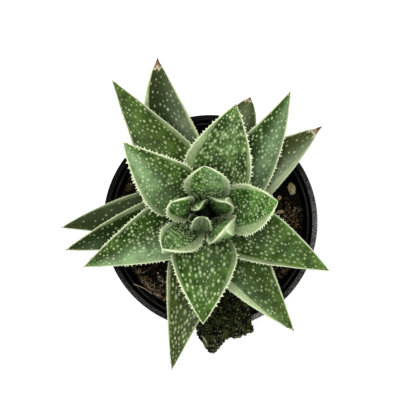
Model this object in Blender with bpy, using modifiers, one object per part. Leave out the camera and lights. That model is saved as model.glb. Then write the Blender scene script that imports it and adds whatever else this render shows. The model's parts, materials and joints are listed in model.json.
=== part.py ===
"""Potted gasteria: a warty-leaved succulent rosette in a ribless round nursery pot.

Metres, +Z up. The origin is the middle of the pot's flat foot. The leaf table is in millimetres and degrees.
"""

import math
import random
from collections import namedtuple

import bmesh
import bpy
import numpy as np
from mathutils import Matrix, Vector, noise

MM = 0.001
GAP = 0.0003

POT_HEIGHT = 0.089
RIM_RADIUS = 0.051
RIM_LIP_HEIGHT = 0.0021
LIP_INNER_RADIUS = 0.0486
LIP_INNER_DEPTH = 0.003
LIP_CREST = 0.0009
COLLAR_RADIUS = 0.0498
COLLAR_INNER_RADIUS = 0.0483
COLLAR_Z = POT_HEIGHT - 0.009
SHOULDER_RADIUS = 0.048
LEDGE_RADIUS = 0.0466
FOOT_RADIUS = 0.037
FOOT_CHAMFER = 0.0008
EDGE_CHAMFER = 0.0003
WALL = 0.0012
FLOOR = 0.0016
POT_STEPS = 48

DRAIN_HOLES = 8
DRAIN_RADIUS = 0.004
DRAIN_LENGTH = 0.014
DRAIN_Z = 0.002
DRAIN_TILT = math.radians(45.0)
DRAIN_STEPS = 12

SOIL_DEPTH_BELOW_RIM = 0.0143
SOIL_Z = POT_HEIGHT - SOIL_DEPTH_BELOW_RIM
SOIL_STEPS = POT_STEPS
SOIL_RING_SHARES = (0.0, 0.08, 0.24, 0.43, 0.62, 0.81, 1.0)
SOIL_LUMP = 0.0012
SOIL_LUMP_SIZE = 0.007
SOIL_CALM = 0.004
BARK_CHIPS = 14
BARK_SEED = 5

# Pumice grains on the soil: radius and turn about the pot's axis, the way the long side points, then length,
# breadth and height, in millimetres and degrees
GRAINS = {
    "pumice_grain_1": (42.8, 22.0, 100.0, 7.6, 4.8, 3.6),
    "pumice_grain_2": (35.6, 19.0, 60.0, 3.2, 2.8, 2.2),
    "pumice_grain_3": (34.4, 8.0, 8.0, 5.0, 2.6, 2.0),
}

STEM_X = -0.0025
STEM_Y = 0.0045
STEM_ROOT_DEPTH = 0.016
STEM_SOIL_RADIUS = 0.0085
STEM_TOP_RADIUS = 0.0022
STEM_TOP = 0.0268
STEM_STEPS = 24

LEAF_LINE_STEPS = 60
DIRECTION_STEP = 0.01
HOOK_START = 0.4
TIP_LENGTH = 0.0016
TOOTH_PITCH = 0.006
TOOTH_BASE = 0.0012
TOOTH_LENGTH = 0.0008
WART_HEIGHT = 0.0004
WART_SHARE = 0.75
WART_SEED = 21

# The leaf's section: the blade's flat and channel as shares of its half width, the margins' drop below the
# blade, and how the keel's depth runs along the leaf and falls off towards the margins. A half width under
# SLIM_HALF thins it.
FLAT_SHARE = 0.3
CHANNEL_SHARE = 0.08
FACET_SHARE_MOST = 0.6
FACET_SLOPE = 0.4
MARGIN_DROP = 0.0006
KEEL_SHOULDER = 0.55
KEEL_ROUND = 1.3
KEEL_BELLY = 0.35
KEEL_FOOT = 0.6
KEEL_SHARP = 1.6
SLIM_HALF = 0.003

# A crust of soil and moss that has crept from the soil over the rim. Offsets run across it, from -1 on the left
# to 1 on the right of its own line from the pot's axis. Its lobe hangs further out on the left, and its left end
# is cut back.
CLOD_TURN = math.radians(277.5)
CLOD_HALF_WIDTH = 0.013
CLOD_ROWS = 10
CLOD_INNER_RADIUS = 0.031
CLOD_REACH = 0.0556
CLOD_LOBE = 0.0062
CLOD_LOBE_OFFSET = -0.55
CLOD_LOBE_SPREAD = 0.35
CLOD_END_OFFSET = -0.7
CLOD_END_CUT = 0.0028
CLOD_TOP = 0.0048
CLOD_TOP_FALL = 0.25
CLOD_WALL_CLEARANCE = 0.0017
CLOD_ROUGHNESS = 0.0007
CLOD_TUFT_SHARE = 0.6
CLOD_SEED = 9

# Leaves are numbered from the lowest and oldest to the innermost.
# azimuth, reach: the tip, from the stem's axis, counter-clockwise from +X
# height: the tip above the rim; base: the leaf's foot above the soil
# foot_azimuth: where it leaves the stem; arch, sweep: its bow up and to the left, seen from the stem
# width, thickness: the blade's largest; belly: where it is widest, 0 to 1
# sharp: 1 is a straight taper, 2 a blunt one
# foot: its width at the foot as a share of the largest
# left_edge, right_edge: width of the pale bevelled facet along each margin
Leaf = namedtuple(
    "Leaf",
    "azimuth reach height base foot_azimuth arch sweep width thickness belly sharp foot left_edge right_edge",
)

LEAVES = {
    "leaf_01": Leaf(186, 67.7, 11, 3.1, 181, 4, -2, 23, 5.0, 0.30, 1.3, 0.40, 0.8, 1.6),
    "leaf_02": Leaf(68.5, 57.8, 11, 3.1, 68, 1, 0, 18, 3.2, 0.45, 3.2, 0.45, 0.8, 0.9),
    "leaf_03": Leaf(258, 75.1, 11, 3.4, 262, 5, 0, 25, 5.0, 0.30, 1.3, 0.40, 0.7, 1.4),
    "leaf_04": Leaf(107, 74.8, 15, 7.3, 105, 5, 5, 26, 5.5, 0.30, 2.0, 0.40, 3.4, 0.9),
    "leaf_05": Leaf(36.5, 66.8, 18, 7.2, 36, 5, 0, 24, 5.0, 0.30, 1.6, 0.40, 1.4, 3.0),
    "leaf_06": Leaf(195, 66.6, 17, 7.5, 195, 5, -1, 24, 5.0, 0.30, 1.3, 0.40, 1.0, 2.2),
    "leaf_07": Leaf(307, 68.5, 15, 7.8, 305, 6, -1, 28, 5.5, 0.32, 1.3, 0.40, 0.7, 4.0),
    "leaf_08": Leaf(55, 66.9, 29, 10.1, 51, 6, -4, 26, 5.0, 0.32, 1.3, 0.38, 2.0, 1.4),
    "leaf_09": Leaf(125, 73.4, 25, 13.2, 127, 6, 0, 28, 5.5, 0.30, 1.2, 0.38, 0.6, 2.0),
    "leaf_10": Leaf(335, 61.8, 27, 13.2, 335, 5, 1, 27, 5.2, 0.32, 1.4, 0.38, 0.7, 1.8),
    "leaf_11": Leaf(204, 60.1, 25.5, 10.7, 206, 6, 0, 27, 5.5, 0.32, 1.3, 0.38, 1.8, 1.4),
    "leaf_12": Leaf(269, 48.8, 36, 15.3, 269, 4, 0, 30, 5.5, 0.38, 1.5, 0.38, 1.9, 1.3),
    "leaf_13": Leaf(74, 49.5, 38, 15.6, 75, 5, 0, 31, 5.5, 0.38, 1.7, 0.38, 3.8, 1.3),
    "leaf_14": Leaf(139, 47.1, 42, 19.0, 141, 4, 2, 26, 5.0, 0.38, 1.4, 0.36, 1.6, 1.2),
    "leaf_15": Leaf(9, 32.1, 42, 18.7, 4, 1, -1, 23.5, 4.4, 0.42, 1.9, 0.36, 1.8, 4.0),
    "leaf_16": Leaf(220, 24.5, 35, 19.8, 234, 0.9, 1.6, 18.0, 6.0, 0.54, 2.0, 0.30, 3.0, 2.4),
    "leaf_17": Leaf(321, 10.8, 36, 20.4, 313, -0.8, -0.5, 16.5, 6.2, 0.58, 2.2, 0.2, 3.4, 1.5),
    "leaf_18": Leaf(91, 20.6, 38, 21.0, 88, 2, -1, 20.5, 4.0, 0.5, 2.2, 0.35, 2.6, 2.2),
    "leaf_19": Leaf(162, 15.1, 36, 22.4, 177, 1.5, 1.3, 13.4, 4.2, 0.62, 2.6, 0.18, 2.8, 1.2),
    "leaf_20": Leaf(28, 9.9, 36, 23.8, 30, 0, -1.3, 11.4, 4.2, 0.55, 2.4, 0.26, 1.8, 1.4),
    "leaf_21": Leaf(228, 1.8, 38, 24.8, 257, -2.8, 0, 8.6, 2.3, 0.62, 3.0, 0.18, 0.6, 0.6),
    "leaf_22": Leaf(200, 7.9, 31, 24.4, 215, 0, 0.2, 3.8, 1.2, 0.55, 2.2, 0.26, 0.9, 0.9),
    "leaf_23": Leaf(149, 3.1, 35, 26.4, 102, -0.8, 0, 7.2, 2.3, 0.6, 2.2, 0.24, 1.2, 1.2),
}

# hook, lean: how far the tip curls in over the rosette and bends to the left, in mm
# twist: degrees that the blade turns about itself by the tip; round: 1 is a pointed outline, larger is rounder
# belly, foot: where the keel is deepest, and its depth at the foot as a share of that
# blunt: 1 is a keel that thins evenly towards the tip, larger keeps it deep for longer
# aside: where the keel's ridge lies, from -1 at the right margin to 1 at the left
# crown: how far the blade bulges up, as a share of half its width
Tip = namedtuple("Tip", "hook lean twist round belly foot blunt aside crown")

PLAIN_TIP = Tip(0.0, 0.0, 0, 1.0, KEEL_BELLY, KEEL_FOOT, 1.0, 0.0, -CHANNEL_SHARE)
TIPS = {
    "leaf_15": Tip(0.0, 0.0, 0, 1.0, 0.5, 0.5, 1.5, -0.3, -0.05),
    "leaf_16": Tip(1.0, 4.0, 28, 1.0, 0.7, 0.3, 3.2, 0.2, 0.12),
    "leaf_17": Tip(2.5, 0.0, 0, 1.2, 0.7, 0.3, 3.4, 0.1, 0.25),
    "leaf_18": Tip(0.0, 0.0, 0, 1.0, 0.6, 0.35, 1.8, 0.1, 0.10),
    "leaf_19": Tip(2.4, -4.0, -50, 1.3, 0.7, 0.3, 2.8, 0.3, 0.14),
    "leaf_20": Tip(2.0, 0.0, 52, 1.2, 0.7, 0.3, 3.2, -0.45, 0.20),
    "leaf_21": Tip(7.0, 0.0, 42, 2.6, 0.6, 0.4, 1.2, 0.0, 0.10),
    "leaf_22": Tip(0.5, 0.0, -30, 1.0, 0.6, 0.4, 2.0, 0.0, 0.20),
    "leaf_23": Tip(1.0, 0.0, -15, 1.2, 0.6, 0.4, 2.6, 0.2, 0.50),
}

LEAF_COLOURS = {
    "old": (0.10, 0.13, 0.07, 1.0),
    "grown": (0.07, 0.16, 0.05, 1.0),
    "young": (0.10, 0.23, 0.08, 1.0),
}


def clear_scene():
    for obj in list(bpy.data.objects):
        bpy.data.objects.remove(obj, do_unlink=True)


def make_collection(name):
    collection = bpy.data.collections.new(name)
    bpy.context.scene.collection.children.link(collection)
    return collection


def make_material(name, colour, roughness, metallic=0.0):
    material = bpy.data.materials.new(name)
    material.use_nodes = True
    shader = material.node_tree.nodes["Principled BSDF"]
    shader.inputs["Base Color"].default_value = colour
    shader.inputs["Roughness"].default_value = roughness
    shader.inputs["Metallic"].default_value = metallic
    return material


def add_object(name, mesh, collection, material=None):
    obj = bpy.data.objects.new(name, mesh)
    collection.objects.link(obj)
    if material is not None:
        mesh.materials.append(material)
    return obj


def mesh_from_bmesh(name, bm):
    bmesh.ops.recalc_face_normals(bm, faces=bm.faces)
    mesh = bpy.data.meshes.new(name)
    bm.to_mesh(mesh)
    bm.free()
    return mesh


def turned(name, profile, steps, collection, material=None):
    """A solid of revolution from (radius, height) points, down the outer side and back up the inner side."""
    mesh = bpy.data.meshes.new(name)
    edges = [(i, i + 1) for i in range(len(profile) - 1)]
    mesh.from_pydata([(radius, 0.0, height) for radius, height in profile], edges, [])
    obj = add_object(name, mesh, collection, material)
    screw = obj.modifiers.new("turn", "SCREW")
    screw.steps = steps
    screw.render_steps = steps
    screw.use_merge_vertices = True
    screw.merge_threshold = 0.00005
    return obj


def cut(obj, cutter):
    boolean = obj.modifiers.new("cut", "BOOLEAN")
    boolean.operation = "DIFFERENCE"
    boolean.object = cutter


def pot_wall_radius(z):
    """The pot's inner radius between the floor and the ledge under the collar."""
    share = z / COLLAR_Z
    return FOOT_RADIUS - WALL + share * (LEDGE_RADIUS - FOOT_RADIUS + WALL)


def build_pot(collection, cutters, material):
    profile = [
        (0.0, FLOOR),
        (pot_wall_radius(FLOOR), FLOOR),
        (LEDGE_RADIUS, COLLAR_Z + WALL),
        (COLLAR_INNER_RADIUS, COLLAR_Z + WALL),
        (COLLAR_INNER_RADIUS, POT_HEIGHT - LIP_INNER_DEPTH - EDGE_CHAMFER),
        (LIP_INNER_RADIUS, POT_HEIGHT - LIP_INNER_DEPTH),
        (LIP_INNER_RADIUS, POT_HEIGHT - EDGE_CHAMFER),
        (LIP_INNER_RADIUS + EDGE_CHAMFER, POT_HEIGHT),
        (LIP_INNER_RADIUS + LIP_CREST, POT_HEIGHT),
        (RIM_RADIUS - EDGE_CHAMFER, POT_HEIGHT - 2.0 * EDGE_CHAMFER),
        (RIM_RADIUS, POT_HEIGHT - 3.0 * EDGE_CHAMFER),
        (RIM_RADIUS, POT_HEIGHT - RIM_LIP_HEIGHT),
        (COLLAR_RADIUS, POT_HEIGHT - RIM_LIP_HEIGHT),
        (COLLAR_RADIUS - EDGE_CHAMFER, COLLAR_Z),
        (SHOULDER_RADIUS, COLLAR_Z),
        (FOOT_RADIUS, FOOT_CHAMFER),
        (FOOT_RADIUS - FOOT_CHAMFER, 0.0),
        (0.0, 0.0),
    ]
    pot = turned("pot", profile, POT_STEPS, collection, material)
    for index in range(DRAIN_HOLES):
        angle = 2.0 * math.pi * (index + 0.5) / DRAIN_HOLES
        bm = bmesh.new()
        bmesh.ops.create_cone(
            bm,
            cap_ends=True,
            segments=DRAIN_STEPS,
            radius1=DRAIN_RADIUS,
            radius2=DRAIN_RADIUS,
            depth=DRAIN_LENGTH,
        )
        cutter = add_object(f"drain_cutter_{index + 1}", mesh_from_bmesh("drain_cutter", bm), cutters)
        cutter.hide_render = True
        cutter.display_type = "WIRE"
        place = Vector((FOOT_RADIUS * math.cos(angle), FOOT_RADIUS * math.sin(angle), DRAIN_Z))
        turn = Matrix.Rotation(angle, 4, "Z") @ Matrix.Rotation(DRAIN_TILT, 4, "Y")
        cutter.matrix_world = Matrix.Translation(place) @ turn
        cut(pot, cutter)
    return pot


def soil_height(x, y):
    """Height of the lumpy soil surface, level at the stem's hole."""
    lumps = noise.fractal(Vector((x, y, 0.0)) / SOIL_LUMP_SIZE, 0.8, 2.1, 3)
    from_stem = math.hypot(x - STEM_X, y - STEM_Y)
    calm = min(1.0, max(0.0, (from_stem - STEM_SOIL_RADIUS) / SOIL_CALM))
    return SOIL_Z + SOIL_LUMP * lumps * calm


def build_potting_mix(collection, material):
    """The soil: one mass inside the pot, with a lumpy top, chips sunk in it and a plain hole for the stem."""
    bm = bmesh.new()
    hole_radius = STEM_SOIL_RADIUS + GAP
    hole_floor = SOIL_Z - STEM_ROOT_DEPTH - GAP
    top_radius = pot_wall_radius(SOIL_Z) - 1.5 * GAP
    foot_z = FLOOR + GAP
    foot_radius = pot_wall_radius(foot_z) - 1.5 * GAP
    rings = [[] for _ in range(len(SOIL_RING_SHARES) + 2)]
    for step in range(SOIL_STEPS):
        angle = 2.0 * math.pi * step / SOIL_STEPS
        turn = Vector((math.cos(angle), math.sin(angle)))
        inner = Vector((STEM_X, STEM_Y)) + turn * hole_radius
        rings[0].append(bm.verts.new((*inner, hole_floor)))
        for ring, share in zip(rings[1:], SOIL_RING_SHARES):
            flat = inner.lerp(turn * top_radius, share)
            height = soil_height(*flat) if 0.0 < share < 1.0 else SOIL_Z
            ring.append(bm.verts.new((*flat, height)))
        rings[-1].append(bm.verts.new((*(turn * foot_radius), foot_z)))
    for ring, after in zip(rings, rings[1:]):
        for step in range(SOIL_STEPS):
            following = (step + 1) % SOIL_STEPS
            bm.faces.new((ring[step], after[step], after[following], ring[following]))
    bm.faces.new(rings[0])
    bm.faces.new(rings[-1])
    soil = add_object("potting_mix", mesh_from_bmesh("potting_mix", bm), collection, material)
    chips = make_collection("bark_chips")
    chance = random.Random(BARK_SEED)
    for index in range(BARK_CHIPS):
        turn = 2.0 * math.pi * (index + 0.6 * chance.random()) / BARK_CHIPS
        radius = chance.uniform(0.028, 0.041)
        size = Vector((chance.uniform(2.2, 4.2), chance.uniform(1.2, 2.0), chance.uniform(0.9, 1.4))) * MM
        place = Vector((radius * math.cos(turn), radius * math.sin(turn), SOIL_Z + 0.2 * MM))
        chip = add_object(f"chip_{index + 1}", pebble_mesh("chip", size, index), chips)
        chip.matrix_world = Matrix.Translation(place) @ Matrix.Rotation(chance.uniform(0.0, math.pi), 4, "Z")
    join_collection(soil, chips)
    return soil


def pebble_mesh(name, half_size, seed):
    """A knobbly stone: a small icosphere pushed in and out by noise and squashed to its size."""
    bm = bmesh.new()
    bmesh.ops.create_icosphere(bm, subdivisions=1, radius=1.0)
    for vert in bm.verts:
        knob = 1.0 + 0.15 * noise.noise(vert.co * 1.3 + Vector((7.3 * seed, 0.0, 0.0)))
        vert.co = Vector((vert.co.x * half_size.x, vert.co.y * half_size.y, vert.co.z * half_size.z)) * knob
    return mesh_from_bmesh(name, bm)


def join_collection(obj, others):
    """Fuses the objects of a collection into one object by a Boolean union and removes them."""
    boolean = obj.modifiers.new("join", "BOOLEAN")
    boolean.operation = "UNION"
    boolean.operand_type = "COLLECTION"
    boolean.collection = others
    bpy.context.view_layer.update()
    evaluated = obj.evaluated_get(bpy.context.evaluated_depsgraph_get())
    joined = bpy.data.meshes.new_from_object(evaluated)
    obj.modifiers.clear()
    obj.data = joined
    for other in list(others.objects):
        bpy.data.objects.remove(other, do_unlink=True)
    bpy.data.collections.remove(others)


def build_grains(collection, material):
    for index, (name, (radius, turn, lie, length, breadth, height)) in enumerate(GRAINS.items()):
        angle = math.radians(turn)
        half_size = Vector((length, breadth, height)) * (0.5 * MM)
        grain = add_object(name, pebble_mesh(name, half_size, 50 + index), collection, material)
        lift = SOIL_Z + SOIL_LUMP + 1.2 * half_size.z
        place = Vector((radius * MM * math.cos(angle), radius * MM * math.sin(angle), lift))
        grain.matrix_world = Matrix.Translation(place) @ Matrix.Rotation(math.radians(lie), 4, "Z")


def clod_profile(offset):
    """Outline of the crust in (radius, height), at an offset across it from -1, left, to 1, right.

    It climbs from the soil to the rim, bulges over it to a drooping outer edge, and comes back down the pot's
    inside.
    """
    lobe = math.exp(-(((offset - CLOD_LOBE_OFFSET) / CLOD_LOBE_SPREAD) ** 2))
    end = max(0.0, (CLOD_END_OFFSET - offset) / (1.0 + CLOD_END_OFFSET))
    reach = CLOD_REACH + CLOD_LOBE * lobe - CLOD_END_CUT * end
    low = SOIL_Z + SOIL_LUMP + 2.0 * GAP
    over_rim = POT_HEIGHT + 2.0 * GAP
    wall = COLLAR_INNER_RADIUS - CLOD_WALL_CLEARANCE
    ledge = LEDGE_RADIUS - CLOD_WALL_CLEARANCE
    top = POT_HEIGHT + CLOD_TOP * (1.0 - CLOD_TOP_FALL * offset * offset)
    return [
        (CLOD_INNER_RADIUS, low),
        (CLOD_INNER_RADIUS - 1 * MM, low + 2 * MM),
        (CLOD_INNER_RADIUS + 4 * MM, low + 6 * MM),
        (CLOD_INNER_RADIUS + 9 * MM, low + 11 * MM),
        (wall - 4 * MM, top - 2 * MM),
        (wall + 1 * MM, top),
        (RIM_RADIUS, top + GAP),
        (0.5 * (RIM_RADIUS + reach), top - GAP),
        (reach - 1 * MM, over_rim + 3 * MM),
        (reach, over_rim + 1 * MM),
        (reach - 2 * MM, over_rim - 1 * MM),
        (RIM_RADIUS + 1.2 * MM, over_rim),
        (wall, over_rim),
        (wall, COLLAR_Z + WALL + 1 * MM),
        (ledge, COLLAR_Z),
        (ledge, low + 1 * MM),
        (ledge - 1.5 * MM, low),
    ]


def build_clod(collection, material):
    """The mossy crust, lofted across its width, crumbly where it is free of the pot."""
    radial = Vector((math.cos(CLOD_TURN), math.sin(CLOD_TURN), 0.0))
    across = Vector((-math.sin(CLOD_TURN), math.cos(CLOD_TURN), 0.0))
    chance = random.Random(CLOD_SEED)
    bm = bmesh.new()
    rows = []
    for row in range(CLOD_ROWS + 1):
        offset = 2.0 * row / CLOD_ROWS - 1.0
        ring = []
        for index, (radius, height) in enumerate(clod_profile(offset)):
            free = 2 <= index <= 9
            rough = CLOD_ROUGHNESS if free else 0.0
            jitter = Vector([chance.uniform(-rough, rough) for _ in range(3)])
            side = across * (offset * CLOD_HALF_WIDTH)
            flat = radial * math.sqrt(max(0.0, radius * radius - side.length_squared))
            ring.append(bm.verts.new(flat + side + Vector((0.0, 0.0, height)) + jitter))
        rows.append(ring)
    tufts = []
    size = len(rows[0])
    for ring, after in zip(rows, rows[1:]):
        for index in range(size):
            following = (index + 1) % size
            face = bm.faces.new((ring[index], after[index], after[following], ring[following]))
            if 2 <= index <= 8 and chance.random() < CLOD_TUFT_SHARE:
                tufts.append(face)
    caps = [bm.faces.new(rows[0]), bm.faces.new(rows[-1])]
    bmesh.ops.recalc_face_normals(bm, faces=bm.faces)
    bmesh.ops.triangulate(bm, faces=caps)
    bmesh.ops.poke(bm, faces=tufts, offset=CLOD_ROUGHNESS, center_mode="MEAN")
    return add_object("mossy_clod", mesh_from_bmesh("mossy_clod", bm), collection, material)


def stem_radius(above_soil):
    """Radius of the leaf-bearing stem at a height above the soil."""
    share = min(1.0, max(0.0, above_soil / STEM_TOP))
    return STEM_SOIL_RADIUS + share * (STEM_TOP_RADIUS - STEM_SOIL_RADIUS)


def build_stem(collection, material):
    profile = [
        (0.0, SOIL_Z + STEM_TOP + 0.0010),
        (STEM_TOP_RADIUS * 0.7, SOIL_Z + STEM_TOP + 0.0006),
        (STEM_TOP_RADIUS, SOIL_Z + STEM_TOP),
        (stem_radius(0.0) - 0.0002, SOIL_Z),
        (stem_radius(0.0) - 0.0006, SOIL_Z - 0.6 * STEM_ROOT_DEPTH),
        (0.004, SOIL_Z - STEM_ROOT_DEPTH),
        (0.0, SOIL_Z - STEM_ROOT_DEPTH),
    ]
    stem = turned("stem", profile, STEM_STEPS, collection, material)
    stem.location = (STEM_X, STEM_Y, 0.0)
    return stem


def leaf_line(leaf, tip):
    """The leaf's centreline: three points of a quadratic Bezier from the stem to the tip, and its end's curl."""
    foot_turn = math.radians(leaf.foot_azimuth)
    tip_turn = math.radians(leaf.azimuth)
    base = leaf.base * MM
    out = stem_radius(base) + 2.0 * GAP
    foot = Vector((STEM_X + out * math.cos(foot_turn), STEM_Y + out * math.sin(foot_turn), SOIL_Z + base))
    reach = leaf.reach * MM
    tip_height = POT_HEIGHT + leaf.height * MM
    end = Vector((STEM_X + reach * math.cos(tip_turn), STEM_Y + reach * math.sin(tip_turn), tip_height))
    along = (end - foot).normalized()
    left = Vector((-math.sin(foot_turn), math.cos(foot_turn), 0.0))
    up = along.cross(left).normalized()
    middle = (foot + end) / 2.0 + up * (2.0 * leaf.arch * MM) + left * (2.0 * leaf.sweep * MM)
    face_turn = math.radians(leaf.azimuth + tip.twist)
    curl = Vector((math.cos(face_turn), math.sin(face_turn), 0.0)) * (-tip.hook * MM)
    curl += Vector((-math.sin(tip_turn), math.cos(tip_turn), 0.0)) * (tip.lean * MM)
    return foot, middle, end - curl, curl


def on_line(points, t):
    foot, middle, end, curl = points
    curled = max(0.0, (t - HOOK_START) / (1.0 - HOOK_START)) ** 2
    return foot * (1.0 - t) ** 2 + middle * (2.0 * t * (1.0 - t)) + end * t * t + curl * curled


def line_direction(points, t):
    before, after = max(0.0, t - DIRECTION_STEP), min(1.0, t + DIRECTION_STEP)
    return (on_line(points, after) - on_line(points, before)).normalized()


def swell(t, belly, start, power, blunt=1.0):
    """Rises from start at 0 to 1 at belly, then falls to 0 at 1, late and steeply where it is blunt."""
    if t < belly:
        return start + (1.0 - start) * math.sin(0.5 * math.pi * t / belly)
    return (1.0 - ((t - belly) / (1.0 - belly)) ** power) ** (1.0 / blunt)


def leaf_section(leaf, tip, t):
    """Points (across, up) of the leaf's section, from right to left and back.

    The upper face ends in a bevelled facet on each side, and the keeled lower face meets the facets in sharp
    margins, where the leaf is widest.
    """
    fullness = swell(t, leaf.belly, leaf.foot, leaf.sharp, tip.round)
    half = 0.5 * leaf.width * MM * fullness
    slim = min(1.0, half / SLIM_HALF)
    keel = leaf.thickness * MM * swell(t, tip.belly, tip.foot, KEEL_SHARP, tip.blunt)
    keel *= slim ** (1.0 / tip.blunt**2)
    flat = FLAT_SHARE * half
    crown = tip.crown * half
    right = min(leaf.right_edge * MM * fullness, FACET_SHARE_MOST * half)
    left = min(leaf.left_edge * MM * fullness, FACET_SHARE_MOST * half)
    right_drop = (MARGIN_DROP + FACET_SLOPE * right) * slim
    left_drop = (MARGIN_DROP + FACET_SLOPE * left) * slim
    upper = [(right - half, 0.0), (-flat, crown), (flat, crown), (half - left, 0.0)]
    lower = [(half, -left_drop)]
    shoulder = 1.0 - KEEL_SHOULDER**KEEL_ROUND
    for u, depth in ((KEEL_SHOULDER, shoulder), (0.0, 1.0), (-KEEL_SHOULDER, shoulder)):
        drop = left_drop if u > 0.0 else right_drop
        side = (tip.aside + u * (1.0 - tip.aside * math.copysign(1.0, u))) * half
        lower.append((side, -drop - max(keel - drop, 0.0) * depth))
    lower.append((-half, -right_drop))
    return upper + lower


def leaf_stations(length):
    """Distances along the leaf, in pairs a tooth's base apart, closing up at the tip."""
    toothed = length - 2.0 * TIP_LENGTH
    count = int(toothed / TOOTH_PITCH)
    start = 0.5 * (toothed - count * TOOTH_PITCH)
    stations = [0.0]
    for index in range(count):
        at = start + index * TOOTH_PITCH + 0.5 * (TOOTH_PITCH - TOOTH_BASE)
        stations += [at, at + TOOTH_BASE]
    stations += [length - TIP_LENGTH]
    return stations


def build_leaf(name, leaf, tip, collection, material):
    """Lofts the sections along the centreline, then pulls out teeth at the margins and warts on the upper face.

    A section's columns 0 to 2 are its upper face, 3 and 8 its facets, and its points 4 and 8 are the margins.
    """
    points = leaf_line(leaf, tip)
    shares = np.linspace(0.0, 1.0, LEAF_LINE_STEPS + 1)
    samples = [on_line(points, share) for share in shares]
    steps = [0.0] + [(b - a).length for a, b in zip(samples, samples[1:])]
    travelled = np.cumsum(steps)
    length = float(travelled[-1])
    foot_turn = math.radians(leaf.foot_azimuth)
    tip_turn = math.radians(leaf.azimuth + tip.twist)
    bm = bmesh.new()
    rings = []
    stations = leaf_stations(length)
    for at in stations:
        t = float(np.interp(at, travelled, shares))
        share = at / length
        along = line_direction(points, t)
        turn = foot_turn + share * (tip_turn - foot_turn)
        left = Vector((-math.sin(turn), math.cos(turn), 0.0))
        left = (left - along * left.dot(along)).normalized()
        up = along.cross(left)
        centre = on_line(points, t)
        section = leaf_section(leaf, tip, share)
        rings.append([bm.verts.new(centre + left * across + up * high) for across, high in section])
    end = bm.verts.new(samples[-1])
    size = len(rings[0])
    teeth = {}
    warts = []
    chance = random.Random(f"{WART_SEED}{name}")
    for row, (ring, after) in enumerate(zip(rings, rings[1:])):
        for column in range(size):
            following = (column + 1) % size
            face = bm.faces.new((ring[column], after[column], after[following], ring[following]))
            is_margin = column in (3, 8)
            is_upper = column < 3
            if is_margin and row % 2 == 1 and row + 2 < len(rings):
                outer = 4 if column == 3 else 8
                edge = 0.5 * (ring[outer].co + after[outer].co)
                outward = (edge - 0.5 * (ring[6].co + after[6].co)).normalized()
                teeth[face] = edge + outward * TOOTH_LENGTH
            if is_upper and row % 2 == 0 and 0 < row < len(rings) - 3 and chance.random() < WART_SHARE:
                warts.append(face)
    for column in range(size):
        bm.faces.new((rings[-1][column], end, rings[-1][(column + 1) % size]))
    cap = bm.faces.new(rings[0])
    bmesh.ops.recalc_face_normals(bm, faces=bm.faces)
    bmesh.ops.triangulate(bm, faces=[cap])
    for face, point in teeth.items():
        apex = bmesh.ops.poke(bm, faces=[face])["verts"][0]
        apex.co = point
    bmesh.ops.poke(bm, faces=warts, offset=WART_HEIGHT, center_mode="MEAN")
    bmesh.ops.triangulate(bm, faces=bm.faces, quad_method="FIXED")
    obj = add_object(name, mesh_from_bmesh(name, bm), collection, material)
    obj.data.shade_smooth()
    return obj


def main():
    clear_scene()
    parts = make_collection("potted_gasteria")
    cutters = make_collection("cutters")
    pot_plastic = make_material("pot_plastic", (0.015, 0.015, 0.016, 1.0), 0.5)
    soil_dark = make_material("soil_dark", (0.035, 0.024, 0.016, 1.0), 0.95)
    stem_green = make_material("stem_green", (0.22, 0.27, 0.14, 1.0), 0.7)
    moss_brown = make_material("moss_brown", (0.07, 0.075, 0.035, 1.0), 0.95)
    pumice_tan = make_material("pumice_tan", (0.45, 0.37, 0.24, 1.0), 0.9)
    leaf_materials = {age: make_material(f"leaf_{age}", colour, 0.55) for age, colour in LEAF_COLOURS.items()}
    build_pot(parts, cutters, pot_plastic)
    build_potting_mix(parts, soil_dark)
    build_clod(parts, moss_brown)
    build_grains(parts, pumice_tan)
    build_stem(parts, stem_green)
    for index, (name, leaf) in enumerate(LEAVES.items()):
        age = "old" if index < 5 else "grown" if index < 14 else "young"
        build_leaf(name, leaf, TIPS.get(name, PLAIN_TIP), parts, leaf_materials[age])


main()
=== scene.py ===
"""The looks of the potted gasteria: its leaves, pot, soil and moss, with a floor, a light and a camera.

Metres, +Z up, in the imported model's frame. The leaf tables are in millimetres and degrees.
"""

import json
import math
import random
from collections import namedtuple

import bmesh
import bpy
import numpy as np
from mathutils import Euler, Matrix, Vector, noise


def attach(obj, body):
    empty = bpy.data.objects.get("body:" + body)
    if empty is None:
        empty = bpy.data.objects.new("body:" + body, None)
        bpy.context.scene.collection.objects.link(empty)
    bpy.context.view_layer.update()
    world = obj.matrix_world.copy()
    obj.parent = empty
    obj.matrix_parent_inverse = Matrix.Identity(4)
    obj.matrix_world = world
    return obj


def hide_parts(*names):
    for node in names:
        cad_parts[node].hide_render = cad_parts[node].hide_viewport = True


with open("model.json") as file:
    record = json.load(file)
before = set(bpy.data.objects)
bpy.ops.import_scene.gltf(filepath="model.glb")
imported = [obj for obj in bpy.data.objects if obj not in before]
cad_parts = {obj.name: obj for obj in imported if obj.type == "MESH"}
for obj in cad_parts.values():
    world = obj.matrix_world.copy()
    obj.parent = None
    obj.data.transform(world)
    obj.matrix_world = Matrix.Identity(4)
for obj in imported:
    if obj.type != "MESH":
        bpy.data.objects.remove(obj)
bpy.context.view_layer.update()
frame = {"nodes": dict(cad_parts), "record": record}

MM = 0.001
GAP = 0.0003
TURN = 2.0 * math.pi

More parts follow.
